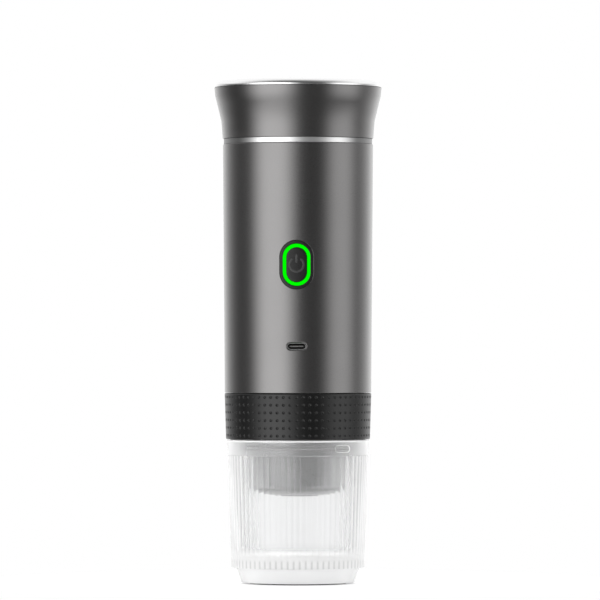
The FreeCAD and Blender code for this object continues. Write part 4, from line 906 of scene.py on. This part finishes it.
def groove_shade_share(net, level, radius):
    """How deep a point lies between the ribs, near their foot: the mask of the painted shade there."""
    crest = net.times(net.math("SUBTRACT", level, RIB_FOOT * MM), RIB_SLOPE)
    crest = net.math("ADD", crest, RIB_FOOT_RADIUS * MM)
    depth = net.fade(net.math("SUBTRACT", crest, radius), *GROOVE_SHADE_DEPTHS)
    above = net.math("GREATER_THAN", level, RIB_FOOT * MM)
    return net.times(depth, net.fade(level, *GROOVE_SHADE_LEVELS), above)


def cup_colour(net, cloud, level, radius):
    """The cup's tint, with painted shade: greyer in a band low in its base, on its flanks and between the
    ribs low down.
    """
    colour = net.tinted(cloud, CUP_COLOUR, CUP_COLOUR_CHANGE)
    base_shade = net.times(net.fade(level, *CUP_BASE_SHADE_FOOT), net.fade(level, *CUP_BASE_SHADE_TOP))
    colour = net.mix(base_shade, colour, grey(CUP_BASE_SHADE_GREY))
    colour = net.mix(net.aside(CUP_FLANK_SHADE), colour, grey(CUP_FLANK_SHADE_GREY))
    return net.mix(groove_shade_share(net, level, radius), colour, grey(GROOVE_SHADE_GREY))


def cup_clearness(net, cloud, level, radius):
    """How much light passes: less at the sides, in the base, in the rim and in the pill's edges."""
    cavity = net.times(net.math("LESS_THAN", radius, CUP_CAVITY_RADIUS),
                       net.math("GREATER_THAN", level, CUP_CAVITY_LEVEL))
    from_inside = net.node("NewGeometry")["Backfacing"]
    pill = net.times(between(net, radius, *PILL_EDGE_RADII), between(net, level, *PILL_EDGE_LEVELS))
    return net.times(
        net.spread(cloud, CUP_CLEAR, CUP_CLOUDED),
        net.most(net.aside(CUP_SIDE_MILK, *CUP_SIDE_CLEAR), net.flat()),
        net.most(net.fade(level, *CUP_BASE_MILK), cavity, from_inside),
        net.fade(level, *CUP_RIM_MILK),
        net.fade(pill, 0.0, 1.0, 1.0, PILL_EDGE_SHARE),
    )


def cup_material():
    """Milky clear plastic: light passes with a slight haze, and the skins scatter some of it, more
    where the way through the plastic is long."""
    material = bpy.data.materials.new("frosted_cup")
    net = Net(material)
    cloud = net.noise(*CUP_CLOUD)
    place = net.axes()
    level = place["Z"]
    squares = [net.math("POWER", place[name], 2.0) for name in ("X", "Y")]
    radius = net.math("SQRT", net.math("ADD", *squares))
    net.surface(
        IOR=CUP_IOR,
        Roughness=net.spread(net.noise(*CUP_GRAIN), *CUP_ROUGHNESS),
        Base_Color=cup_colour(net, cloud, level, radius),
        Transmission_Weight=cup_clearness(net, cloud, level, radius),
    )
    return material


MATERIALS["frosted_cup"] = cup_material()


def build_main_shell():
    """The tapered shell with the openings of its button and port, rolled over at both ends."""
    solid = Solid()
    low = (shell_radius(SHELL_FOOT + SHELL_EDGE), SHELL_FOOT + SHELL_EDGE)
    high = (shell_radius(RING_FOOT - SHELL_EDGE), RING_FOOT - SHELL_EDGE)
    inner_low = (low[0] - SHELL_WALL, low[1])
    inner_high = (high[0] - SHELL_WALL, high[1])
    button = (0, BUTTON_LEVEL, BUTTON_STRAIGHT, BUTTON_SLOT_RADIUS, True)
    port = (0, USB_LEVEL, USB_HALF, USB_SLOT_RADIUS, False)
    outer = Band(solid, low, high, COLUMNS, [
        Pocket(*button, BUTTON_STEPS, BUTTON_MARGIN),
        Pocket(*port, USB_STEPS, USB_MARGIN),
    ])
    inner = Band(solid, inner_low, inner_high, COLUMNS, [
        Pocket(*button, HOLE_STEPS, BUTTON_MARGIN),
        Pocket(*port, HOLE_STEPS, USB_MARGIN),
    ], inward=True)
    for front_ring, back_ring in zip(outer.ends, inner.ends):
        solid.bridge(front_ring, back_ring)
    revolve_open(solid, [
        inner_low,
        (SHELL_FOOT_RADIUS - SHELL_WALL, SHELL_FOOT, SHELL_EDGE_ROUND),
        (SHELL_FOOT_RADIUS, SHELL_FOOT, SHELL_EDGE_ROUND),
        low,
    ], inner.bottom, outer.bottom)
    revolve_open(solid, [
        high,
        (SHELL_TOP_RADIUS, RING_FOOT, SHELL_EDGE_ROUND),
        (SHELL_TOP_RADIUS - SHELL_WALL, RING_FOOT, SHELL_EDGE_ROUND),
        inner_high,
    ], outer.top, inner.top)
    solid.mesh("main_shell_skin", "gunmetal", "housing", "main_shell")


def turned_piece(name, outline, slot, body, node, look=None):
    """A piece that is one outline turned about the axis."""
    solid = Solid()
    turn_about(solid, outline)
    return solid.mesh(name, slot, body, node, look=look)


def build_chrome_ring():
    """The bright ring between the shells, with the spigots that hold it."""
    turned_piece("bright_ring", rounded([
        (SPIGOT_RADIUS - SPIGOT_WALL, RING_FOOT - SPIGOT_REACH, SPIGOT_ROUND),
        (SPIGOT_RADIUS, RING_FOOT - SPIGOT_REACH, EDGE_ROUND),
        (SPIGOT_RADIUS, RING_FOOT),
        (RING_RADIUS, RING_FOOT, RING_EDGE),
        (RING_RADIUS, RING_TOP, RING_EDGE),
        (SPIGOT_RADIUS, RING_TOP),
        (SPIGOT_RADIUS, RING_TOP + SPIGOT_REACH, EDGE_ROUND),
        (SPIGOT_RADIUS - SPIGOT_WALL, RING_TOP + SPIGOT_REACH, SPIGOT_ROUND),
    ]), "polished_metal", "housing", "chrome_ring", look="bright_ring")


def build_flare():
    """The tank's mouth, whose wall bends outward and then upright."""
    knee = math.asin(FLARE_KNEE / FLARE_BEND)
    centre = FLARE_FOOT_RADIUS + FLARE_BEND
    inner_bend = FLARE_BEND + SHELL_WALL
    flare_top = top("flare_shell")
    turned_piece("flare_skin", [
        (FLARE_FOOT_RADIUS - SHELL_WALL, RING_TOP),
        (FLARE_FOOT_RADIUS, RING_TOP, -FLARE_BEND),
        (centre - FLARE_BEND * math.cos(knee), RING_TOP + FLARE_KNEE, FLARE_BROW),
        (OVERALL_RADIUS, flare_top),
        (OVERALL_RADIUS - SHELL_WALL, flare_top, SHELL_WALL - FLARE_BROW),
        (centre - inner_bend * math.cos(knee), RING_TOP + inner_bend * math.sin(knee), inner_bend),
    ], "gunmetal", "housing", "flare_shell")


def build_bezel():
    """The lid's polished rim and the brushed ring inside it."""
    bezel_foot = foot("lid_bezel")
    turned_piece("lid_bezel_skin", rounded([
        (LID_FLANGE_RADIUS, bezel_foot),
        (OVERALL_RADIUS, bezel_foot, FINE_ROUND),
        (OVERALL_RADIUS, OVERALL_HEIGHT, BEZEL_ROUND),
        (BEZEL_INNER, OVERALL_HEIGHT, EDGE_ROUND),
        (BEZEL_INNER, LID_FLANGE_TOP),
        (LID_FLANGE_RADIUS, LID_FLANGE_TOP),
    ]), "polished_metal", "lid", "lid_bezel")
    turned_piece("lid_trim_skin", rounded([
        (LID_DISH_RADIUS + LID_DISH_ROUND, LID_FLANGE_TOP),
        (BEZEL_INNER - TRIM_GAP, LID_FLANGE_TOP),
        (BEZEL_INNER - TRIM_GAP, TRIM_TOP, FINE_ROUND),
        (LID_DISH_RADIUS + LID_DISH_ROUND, TRIM_TOP, EDGE_ROUND),
    ]), "lid_trim_metal", "lid", "lid_trim")


def build_grip():
    """The rubber sleeve with its rows of small round dimples."""
    solid = Solid()
    grip_foot = foot("grip_sleeve")
    grip_top = top("grip_sleeve")
    slope = (GRIP_TOP_RADIUS - GRIP_FOOT_RADIUS) / (grip_top - grip_foot)
    low = (GRIP_FOOT_RADIUS + slope * GRIP_REACH, grip_foot + GRIP_REACH)
    high = (GRIP_TOP_RADIUS - slope * GRIP_REACH, grip_top - GRIP_REACH)
    dimples = [
        Pocket(360 * column / RIB_COUNT, DIMPLE_FIRST + DIMPLE_PITCH * row, 0.0, DIMPLE_RADIUS, True,
               DIMPLE_STEPS, DIMPLE_MARGIN, closed=True)
        for row in range(DIMPLE_ROWS)
        for column in range(RIB_COUNT)
    ]
    wall = Band(solid, low, high, RIB_COUNT * GRIP_COLUMNS, dimples)
    revolve_open(solid, [
        high,
        (GRIP_TOP_RADIUS, grip_top, GRIP_ROUND),
        (COLLAR_RADIUS, grip_top),
        (COLLAR_RADIUS, grip_foot),
        (GRIP_FOOT_RADIUS, grip_foot, GRIP_ROUND),
        low,
    ], wall.top, wall.bottom, wall.columns)
    solid.mesh("grip_skin", "grip_rubber", "collar", "grip_sleeve", sharp=SOFT_SHARP_ANGLE)


def rib_share(column):
    """Where a column of the cup lies across its rib, from -1 to 1."""
    return 2 * ((column + RIB_COLUMNS / 2) % RIB_COLUMNS) / RIB_COLUMNS - 1


def rib_normal(radius, turn, share):
    """The direction that a rib's rounded back faces."""
    lean = -2 * RIB_DEPTH * share / (math.pi / RIB_COUNT) / radius
    outward = Vector((math.sin(turn), -math.cos(turn), 0))
    sideways = Vector((math.cos(turn), math.sin(turn), 0))
    return (outward - sideways * lean - Vector((0, 0, RIB_SLOPE))).normalized()[:]


def add_ribs(solid, columns, foot_ring, neck_ring):
    """The cup's ribbed wall between the rings of its foot and its neck."""
    lower = []
    upper = []
    for column in range(columns):
        drop = RIB_DEPTH * rib_share(column) ** 2
        turn = turn_at(column, columns)
        lower.append(solid.polar(RIB_FOOT_RADIUS - drop, turn, RIB_FOOT))
        upper.append(solid.polar(RIB_TOP_RADIUS - drop, turn, RIB_TOP))
    for column, following in around(columns):
        first = rib_share(column)
        second = first + 2 / RIB_COLUMNS
        here = turn_at(column, columns)
        there = turn_at(column + 1, columns)
        solid.face(
            [lower[column], lower[following], upper[following], upper[column]],
            [rib_normal(RIB_FOOT_RADIUS, here, first), rib_normal(RIB_FOOT_RADIUS, there, second),
             rib_normal(RIB_TOP_RADIUS, there, second), rib_normal(RIB_TOP_RADIUS, here, first)],
        )
    solid.bridge(upper, neck_ring)
    solid.bridge(foot_ring, lower)


def build_cup():
    """The ribbed cup: two plain pill recesses under its rim, ribs below them, a hollow foot."""
    solid = Solid()
    columns = RIB_COUNT * RIB_COLUMNS
    neck_high = (CUP_NECK_RADIUS, CUP_RIM - CUP_RIM_REACH)
    pills = [
        Pocket(PILL_TURN + turn, PILL_LEVEL, PILL_HALF, PILL_RADIUS, False, PILL_STEPS, PILL_MARGIN)
        for turn in (0, 180)
    ]
    neck = Band(solid, (CUP_NECK_RADIUS, RIB_TOP + RIB_LEDGE), neck_high, columns, pills)
    for ring in neck.ends:
        solid.face(ring)
    foot_ring = solid.ring((FOOT_TOP_RADIUS, RIB_FOOT), columns)
    add_ribs(solid, columns, foot_ring, neck.bottom)
    revolve_open(solid, [
        neck_high,
        (CUP_NECK_RADIUS, CUP_RIM, CUP_RIM_OUTER_ROUND),
        (SOCKET_RADIUS, CUP_RIM, CUP_RIM_INNER_ROUND),
        (SOCKET_RADIUS, RIB_TOP, SOCKET_ROUND),
        (CUP_WALL_TOP, RIB_TOP, CUP_WALL_ROUND),
        (CUP_WALL_FOOT, CUP_FLOOR, CUP_FLOOR_ROUND),
        (0, CUP_FLOOR),
    ], neck.top, None, columns)
    revolve_open(solid, [
        (0, FOOT_HOLLOW_TOP),
        (FOOT_HOLLOW_RADIUS, FOOT_HOLLOW_TOP, FOOT_HOLLOW_ROUND),
        (FOOT_HOLLOW_RADIUS, FOOT_RING_TOP),
        (FOOT_RING_OUTER, FOOT_RING_TOP),
        (FOOT_RING_OUTER, FOOT_LEVEL),
        (FOOT_RADIUS, FOOT_LEVEL, FOOT_ROUND),
        (FOOT_TOP_RADIUS, RIB_FOOT),
    ], None, foot_ring, columns)
    solid.mesh("cup_skin", "frosted_cup", "cup", "cup_body")


def over_shell(radius, edge):
    """Rings of one of the button's edges."""
    return [(radius + away, on_shell(growth)) for away, growth in edge]


def build_button():
    """The button's surround, its light guide and its cap, all on the shell's curve."""
    stadium_piece("button_bezel_skin", BUTTON_STRAIGHT, BUTTON_LEVEL, True, [
        (BUTTON_SLOT_RADIUS - BUTTON_GAP, on_plane(BUTTON_BACK)),
        *over_shell(BUTTON_SLOT_RADIUS, BEZEL_OUTER_EDGE),
        *over_shell(LIGHT_OUTER, BEZEL_INNER_EDGE),
        (LIGHT_OUTER + BUTTON_GAP, on_plane(BUTTON_BACK)),
    ], True, "button_black", "housing", "button_bezel")
    stadium_piece("light_ring_skin", LIGHT_STRAIGHT, BUTTON_LEVEL, True, [
        (LIGHT_OUTER, on_plane(back("light_ring"))),
        *over_shell(LIGHT_OUTER, LIGHT_OUTER_EDGE),
        *over_shell(LIGHT_INNER, LIGHT_INNER_EDGE),
        (LIGHT_INNER, on_plane(back("light_ring"))),
    ], True, "light_guide", "housing", "light_ring")
    stadium_piece("button_cap_skin", LIGHT_STRAIGHT, BUTTON_LEVEL, True, [
        (CAP_RADIUS, on_plane(back("button_cap"))),
        *over_shell(CAP_RADIUS, CAP_EDGE),
    ], False, "button_black", "button", "button_cap")


def half_circle(centre, start):
    """Points on the way round a stroke's end, from one side to the other."""
    return [
        centre + Matrix.Rotation(math.pi * step / ICON_END_STEPS, 2) @ (start - centre)
        for step in range(1, ICON_END_STEPS)
    ]


def stroke_edge(path, half_width):
    """The outline of a stroke with round ends: its right side, its end, its left side, its start."""
    left = []
    right = []
    for index, spot in enumerate(path):
        way = path[min(index + 1, len(path) - 1)] - path[max(index - 1, 0)]
        side = Vector((-way.y, way.x)).normalized() * half_width
        left.append(spot + side)
        right.append(spot - side)
    end = half_circle(path[-1], right[-1])
    start = half_circle(path[0], left[0])
    return [*right, *end, *left[::-1], *start]


def add_stroke(solid, path, half_width):
    """A raised stroke with round ends along a path of (across, up) points on the button's cap."""
    edge = stroke_edge(path, half_width)
    rings = []
    for share, growth in ((1.0, -ICON_ROOT), (1.0, -ICON_SUNK - ICON_EDGE), (ICON_TOP_SHARE, -ICON_SUNK)):
        surface = on_shell(growth)
        ring = []
        for spot in edge:
            near = min(path, key=lambda point: (point - spot).length)
            place = near + (spot - near) * share
            level = BUTTON_LEVEL + place.y
            ring.append(solid.point(place.x, -surface(place.x, level), level))
        rings.append(ring)
    solid.skin(rings)
    last = len(path) - 1
    face = rings[-1]
    far = last + ICON_END_STEPS
    for index in range(last):
        solid.face([face[index], face[index + 1], face[far + last - 1 - index], face[far + last - index]])
    solid.face([face[last + step] for step in range(ICON_END_STEPS + 1)])
    solid.face([face[(far + last + step) % len(face)] for step in range(ICON_END_STEPS + 1)])


def build_icon():
    """The round power mark: an open ring and a short upright stroke."""
    solid = Solid()
    half = ICON_STROKE / 2
    middle = ICON_RADIUS - half
    opening = math.asin((ICON_GAP / 2 + half) / middle)
    turns = [opening + (2 * math.pi - 2 * opening) * step / ICON_STEPS for step in range(ICON_STEPS + 1)]
    add_stroke(solid, [Vector((-middle * math.sin(turn), middle * math.cos(turn))) for turn in turns], half)
    length = ICON_BAR_TOP - ICON_BAR_FOOT - 2 * half
    add_stroke(solid, [
        Vector((0.0, ICON_BAR_TOP - half - length * step / ICON_BAR_STEPS))
        for step in range(ICON_BAR_STEPS + 1)
    ], half)
    solid.mesh("button_icon_skin", "icon_grey", "button", "button_icon")


def bevelled_box(solid, low, high, bevel):
    """A box whose twelve edges are cut off, as a tube through four rings of eight points."""
    rings = []
    for level in (low[2], low[2] + bevel, high[2] - bevel, high[2]):
        ring = []
        for x_side, y_side in ((0, 0), (0, 1), (1, 1), (1, 0)):
            x = (low[0], high[0])[x_side]
            y = (low[1], high[1])[y_side]
            inner_x = x + bevel * (1 - 2 * x_side)
            inner_y = y + bevel * (1 - 2 * y_side)
            if level in (low[2], high[2]):
                ring += [solid.point(inner_x, inner_y, level)] * 2
                continue
            pair = [(inner_x, y), (x, inner_y)]
            ring += [solid.point(*spot, level) for spot in (pair if x_side == y_side else pair[::-1])]
        rings.append(ring)
    solid.tube(rings)


def build_usb():
    """The charging port: its steel shell, the tongue inside and the tongue's contacts."""
    stadium_piece("usb_shell", USB_HALF, USB_LEVEL, False, [
        (USB_RADIUS, on_plane(back("usb_receptacle"))),
        (USB_RADIUS, on_plane(USB_FRONT - USB_BEVEL_DEPTH)),
        (USB_RADIUS - USB_BEVEL, on_plane(USB_FRONT)),
        (USB_OPENING + USB_BEVEL, on_plane(USB_FRONT)),
        (USB_OPENING, on_plane(USB_FRONT - USB_BEVEL_DEPTH)),
        (USB_OPENING, on_plane(USB_BACK)),
        (USB_BACK_RADIUS, on_plane(USB_BACK)),
    ], False, "usb_steel", "housing", "usb_receptacle")
    half = TONGUE_THICKNESS / 2
    tongue = Solid()
    bevelled_box(tongue, (-TONGUE_HALF, -TONGUE_FRONT, USB_LEVEL - half),
                 (TONGUE_HALF, -USB_BACK, USB_LEVEL + half), TONGUE_BEVEL)
    tongue.mesh("usb_tongue_skin", "usb_plastic", "housing", "usb_tongue")
    pads = Solid()
    for level in (USB_LEVEL - half, USB_LEVEL + half):
        for index in range(PAD_COUNT):
            middle = (index - (PAD_COUNT - 1) / 2) * PAD_PITCH
            bevelled_box(pads, (middle - PAD_HALF, PAD_START - TONGUE_FRONT, level - PAD_PROUD),
                         (middle + PAD_HALF, PAD_END - TONGUE_FRONT, level + PAD_PROUD), PAD_BEVEL)
    pads.mesh("usb_contacts", "nickel", "housing", look="contact_gold")


def bar_stations():
    """The finger bar's outline of (across, level): a foot that flares out, and a round back."""
    lowest = LID_DISH_FLOOR - BAR_SUNK
    side = []
    for index in range(BAR_FILLET_STEPS + 1):
        turn = math.pi / 2 * index / BAR_FILLET_STEPS
        side.append((BAR_HALF + BAR_FILLET * (1 - math.sin(turn)),
                     LID_DISH_FLOOR + BAR_FILLET * (1 - math.cos(turn))))
    side.insert(0, (BAR_HALF + BAR_FILLET, lowest))
    back_turns = [math.pi * index / BAR_TOP_STEPS for index in range(BAR_TOP_STEPS + 1)]
    middle = [
        (BAR_HALF * math.cos(turn), BAR_TOP - BAR_HALF + BAR_HALF * math.sin(turn)) for turn in back_turns
    ]
    return [*side, *middle, *[(-across, up) for across, up in side[-2::-1]]]


def add_bar(solid):
    """The finger bar across the lid's recess."""
    stations = bar_stations()
    rings = []
    for index in range(BAR_LENGTH_STEPS + 1):
        along = BAR_REACH * (2 * index / BAR_LENGTH_STEPS - 1)
        rings.append([solid.point(along, across, up) for across, up in stations])
    for first, second in zip(rings, rings[1:]):
        for index in range(len(stations) - 1):
            solid.face([first[index + 1], first[index], second[index], second[index + 1]])


def add_ridges(solid):
    """The lid's short right-hand screw ridges, whose ends run out into the wall."""
    inner = PLUG_RADIUS - THREAD_ROOT
    for start in range(LID_STARTS):
        rings = []
        for step in range(THREAD_STEPS + 1):
            share = step / THREAD_STEPS
            turn = math.pi / 2 + turn_at(start, LID_STARTS) + math.radians(LID_THREAD_SPAN) * share
            level = LID_THREAD_LEVEL + LID_LEAD * LID_THREAD_SPAN / 360 * share
            lift = min(1.0, min(share, 1 - share) * THREAD_RUN_IN + THREAD_END)
            edge = PLUG_RADIUS + (LID_THREAD_RADIUS - PLUG_RADIUS) * lift
            rings.append([
                solid.polar(inner, turn, level),
                solid.polar(edge, turn, level + THREAD_BEVEL),
                solid.polar(edge, turn, level + LID_THREAD_WIDTH - THREAD_BEVEL),
                solid.polar(inner, turn, level + LID_THREAD_WIDTH),
            ])
        solid.tube(rings)


def build_lid():
    """The screwed lid: plug, recess with its finger bar, and the screw ridges."""
    solid = Solid()
    turn_about(solid, rounded([
        (0, foot("lid_cap")),
        (PLUG_RADIUS, foot("lid_cap"), PLUG_BEVEL),
        (PLUG_RADIUS, LID_FLANGE_FOOT, PLUG_ROUND),
        (SEAL_GROOVE_INNER, LID_FLANGE_FOOT),
        (SEAL_GROOVE_INNER, SEAL_GROOVE_TOP),
        (SEAL_GROOVE_OUTER, SEAL_GROOVE_TOP),
        (SEAL_GROOVE_OUTER, LID_FLANGE_FOOT),
        (LID_FLANGE_RADIUS, LID_FLANGE_FOOT),
        (LID_FLANGE_RADIUS, LID_FLANGE_TOP),
        (LID_DISH_RADIUS, LID_FLANGE_TOP, LID_DISH_ROUND),
        (LID_DISH_RADIUS, LID_DISH_FLOOR, LID_DISH_ROUND),
        (0, LID_DISH_FLOOR),
    ]))
    add_bar(solid)
    add_ridges(solid)
    solid.mesh("lid_cap_skin", "lid_plastic", "lid", "lid_cap")


def build_spring():
    """The outlet valve's spring, a coil of round wire from its foot to its top."""
    low = foot("valve_spring")
    height = top("valve_spring") - low
    steps = SPRING_TURNS * SPRING_STEPS
    solid = Solid()
    rings = []
    for step in range(steps + 1):
        turn = turn_at(step, SPRING_STEPS)
        middle = low + SPRING_WIRE + (height - 2 * SPRING_WIRE) * step / steps
        ring = []
        for side in range(SPRING_SIDES):
            about_wire = turn_at(side, SPRING_SIDES)
            radius = SPRING_RADIUS + SPRING_WIRE * math.cos(about_wire)
            level = middle + SPRING_WIRE * math.sin(about_wire)
            ring.append(solid.point(radius * math.cos(turn), radius * math.sin(turn), level))
        rings.append(ring)
    solid.tube(rings)
    spring = solid.mesh("valve_coil", "spring_steel", "chamber", "valve_spring", sharp=SOFT_SHARP_ANGLE)
    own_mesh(spring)


def dress_cad_nodes():
    """Every CAD node that stays gets the procedural material of its own slot."""
    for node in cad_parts.values():
        if node.hide_render:
            continue
        for holder in node.material_slots:
            name = holder.material.name.split(".")[0] if holder.material else ""
            if name in MATERIALS:
                holder.link = "OBJECT"
                holder.material = MATERIALS[name]


build_main_shell()
build_chrome_ring()
build_flare()
build_bezel()
build_grip()
build_cup()
build_button()
build_icon()
build_usb()
build_lid()
build_spring()
dress_cad_nodes()

# Studio: soft lights stand round the object as broad bright strips, each (bearing, half width of
# its full part, half width to its faded edge, strength, share left low down); a backdrop stands
# behind the object and a sky above and behind it. Angles are in degrees.
STRIP_LIGHTS = (
    (-37.0, 10.0, 46.0, 2.2, 0.55),
    (71.5, 7.0, 37.0, 1.28, 0.22),
    (128.0, 15.0, 45.0, 0.22, 0.5),
)
STRIP_TOP = (12.0, 27.0, 1.0, 0.0)
STRIP_LOW = (-28.0, -10.0)
GLOW_LIMIT = 2.2
ROOM_LEVEL = 0.10
BACKDROP = (99.0, 160.0)
SKY_TURN = (35.0, 110.0)
SKY_RISE = (3.0, 20.0)
SKY_LEVEL = 1.05
SOFT_FILL = 0.44
CUP_FILL = 0.88
CUP_SPREAD = 1.4

# Rays are counted in whole numbers, so a limit lies half way between two
SOME = 0.5
DIRECT_VIEW = (
    ("LESS_THAN", "Glossy Depth", 0.5),
    ("GREATER_THAN", "Glossy Depth", 1.5),
    ("LESS_THAN", "Transmission Depth", 2.5),
    ("GREATER_THAN", "Transmission Depth", 4.5),
)

FLOOR_RADIUS = 0.16
FLOOR_SIDES = 96
FLOOR_GREY = 0.8
FLOOR_CHANGE = 0.01
FLOOR_CLOUD = (30.0, 2.0)
FLOOR_GLOW = 0.13
FLOOR_GLOW_SEEN = 0.3

DEGREES = 180 / math.pi
CAMERA_DISTANCE = 2.84
CAMERA_HEIGHT = 0.1186
CAMERA_BEARING = math.radians(1.12)
CAMERA_REACH = (0.05, 50.0)
AIM_HEIGHT = 0.1354
AIM_SIDE = 0.00096
LENS = 356.4
SENSOR_WIDTH = 36.0


def seen_directly(net, path):
    """1 for what the camera sees straight or through clear walls, and for rays that bounce about
    inside a wall; one reflection seen through a wall still shows the studio."""
    tests = [net.math(test, path[depth], limit) for test, depth, limit in DIRECT_VIEW]
    undiffused = net.math("LESS_THAN", path["Diffuse Depth"], SOME)
    through = net.times(path["Is Transmission Ray"], net.most(*tests), undiffused)
    return net.most(path["Is Camera Ray"], through)


def strip_glow(net, bearing, lean):
    """The strips' light from a direction, faded out above and dimmer low down."""
    strips = []
    for middle, full, edge, strength, low_share in STRIP_LIGHTS:
        away = net.math("ABSOLUTE", net.math("SUBTRACT", bearing, middle))
        low = net.fade(lean, *STRIP_LOW, low_share, 1.0)
        strips.append(net.times(net.fade(away, full, edge, strength, 0.0), low))
    return net.times(net.math("ADD", *strips), net.fade(lean, *STRIP_TOP))


def studio_light(net, enclosed):
    """What a direction of the studio gives: strips, room and backdrop, and over them the sky."""
    way = net.axes("TexCoord", "Generated")
    forward = net.times(way["Y"], -1.0)
    bearing = net.times(net.math("ARCTAN2", way["X"], forward), DEGREES)
    lean = net.times(net.math("ARCSINE", way["Z"]), DEGREES)
    turned = net.times(net.math("ARCCOSINE", forward), DEGREES)
    side = net.times(net.math("ABSOLUTE", bearing), net.fade(enclosed, 0.0, 1.0, 1.0, CUP_SPREAD))
    total = net.math("ADD", strip_glow(net, bearing, lean), ROOM_LEVEL, net.fade(side, *BACKDROP))
    sky = net.times(net.fade(turned, *SKY_TURN), net.fade(lean, *SKY_RISE))
    return net.mix(sky, net.math("MINIMUM", total, GLOW_LIMIT), SKY_LEVEL, "FLOAT")


def make_world():
    """White where it is seen directly, and otherwise the studio, with a fill for matt surfaces."""
    world = bpy.data.worlds.new("studio")
    bpy.context.scene.world = world
    net = Net(world)
    path = net.node("LightPath")
    enclosed = net.math("GREATER_THAN", path["Transmission Depth"], SOME)
    diffused = net.math("GREATER_THAN", path["Diffuse Depth"], SOME)
    fill = net.times(diffused, net.math("ADD", net.times(enclosed, CUP_FILL), SOFT_FILL))
    lit = net.math("ADD", studio_light(net, enclosed), fill)
    strength = net.mix(seen_directly(net, path), lit, 1.0, "FLOAT")
    net.put(net.tree.nodes["Background"], Strength=strength, Color=grey(1.0))


def floor_material():
    """Pale matt floor whose own light, for what the camera and clear walls see, tops it up to white."""
    material = bpy.data.materials.new("pale_floor")
    net = Net(material)
    net.tree.nodes.remove(net.tree.nodes["Principled BSDF"])
    colour = net.tinted(net.noise(*FLOOR_CLOUD), grey(FLOOR_GREY), FLOOR_CHANGE)
    matt = net.node("BsdfDiffuse", Color=colour)["BSDF"]
    seen = seen_directly(net, net.node("LightPath"))
    glow = net.node("Emission", Strength=net.fade(seen, 0.0, 1.0, FLOOR_GLOW, FLOOR_GLOW_SEEN))
    both = net.tree.nodes.new("ShaderNodeAddShader")
    net.tree.links.new(matt, both.inputs[0])
    net.tree.links.new(glow["Emission"], both.inputs[1])
    net.put(net.tree.nodes["Material Output"], Surface=both.outputs["Shader"])
    return material


def make_floor():
    """A round floor under the object."""
    data = bpy.data.meshes.new("floor")
    turns = [turn_at(index, FLOOR_SIDES) for index in range(FLOOR_SIDES)]
    points = [(FLOOR_RADIUS * math.cos(turn), FLOOR_RADIUS * math.sin(turn), 0) for turn in turns]
    data.from_pydata(points, [], [list(range(FLOOR_SIDES))])
    data.materials.append(floor_material())
    placed("floor", data)


def make_camera():
    """A long lens from nearly straight in front, a little below the middle of the frame."""
    data = bpy.data.cameras.new("camera")
    data.lens = LENS
    data.sensor_width = SENSOR_WIDTH
    data.clip_start, data.clip_end = CAMERA_REACH
    camera = placed("camera", data)
    side = Vector((math.cos(CAMERA_BEARING), math.sin(CAMERA_BEARING), 0))
    behind = Vector((math.sin(CAMERA_BEARING), -math.cos(CAMERA_BEARING), 0))
    camera.location = behind * CAMERA_DISTANCE + Vector((0, 0, CAMERA_HEIGHT))
    aim = side * AIM_SIDE + Vector((0, 0, AIM_HEIGHT))
    camera.rotation_mode = "QUATERNION"
    camera.rotation_quaternion = (aim - camera.location).to_track_quat("-Z", "Y")
    bpy.context.scene.camera = camera


make_world()
make_floor()
make_camera()
bpy.context.scene.view_settings.view_transform = "Standard"

bpy.context.view_layer.update()
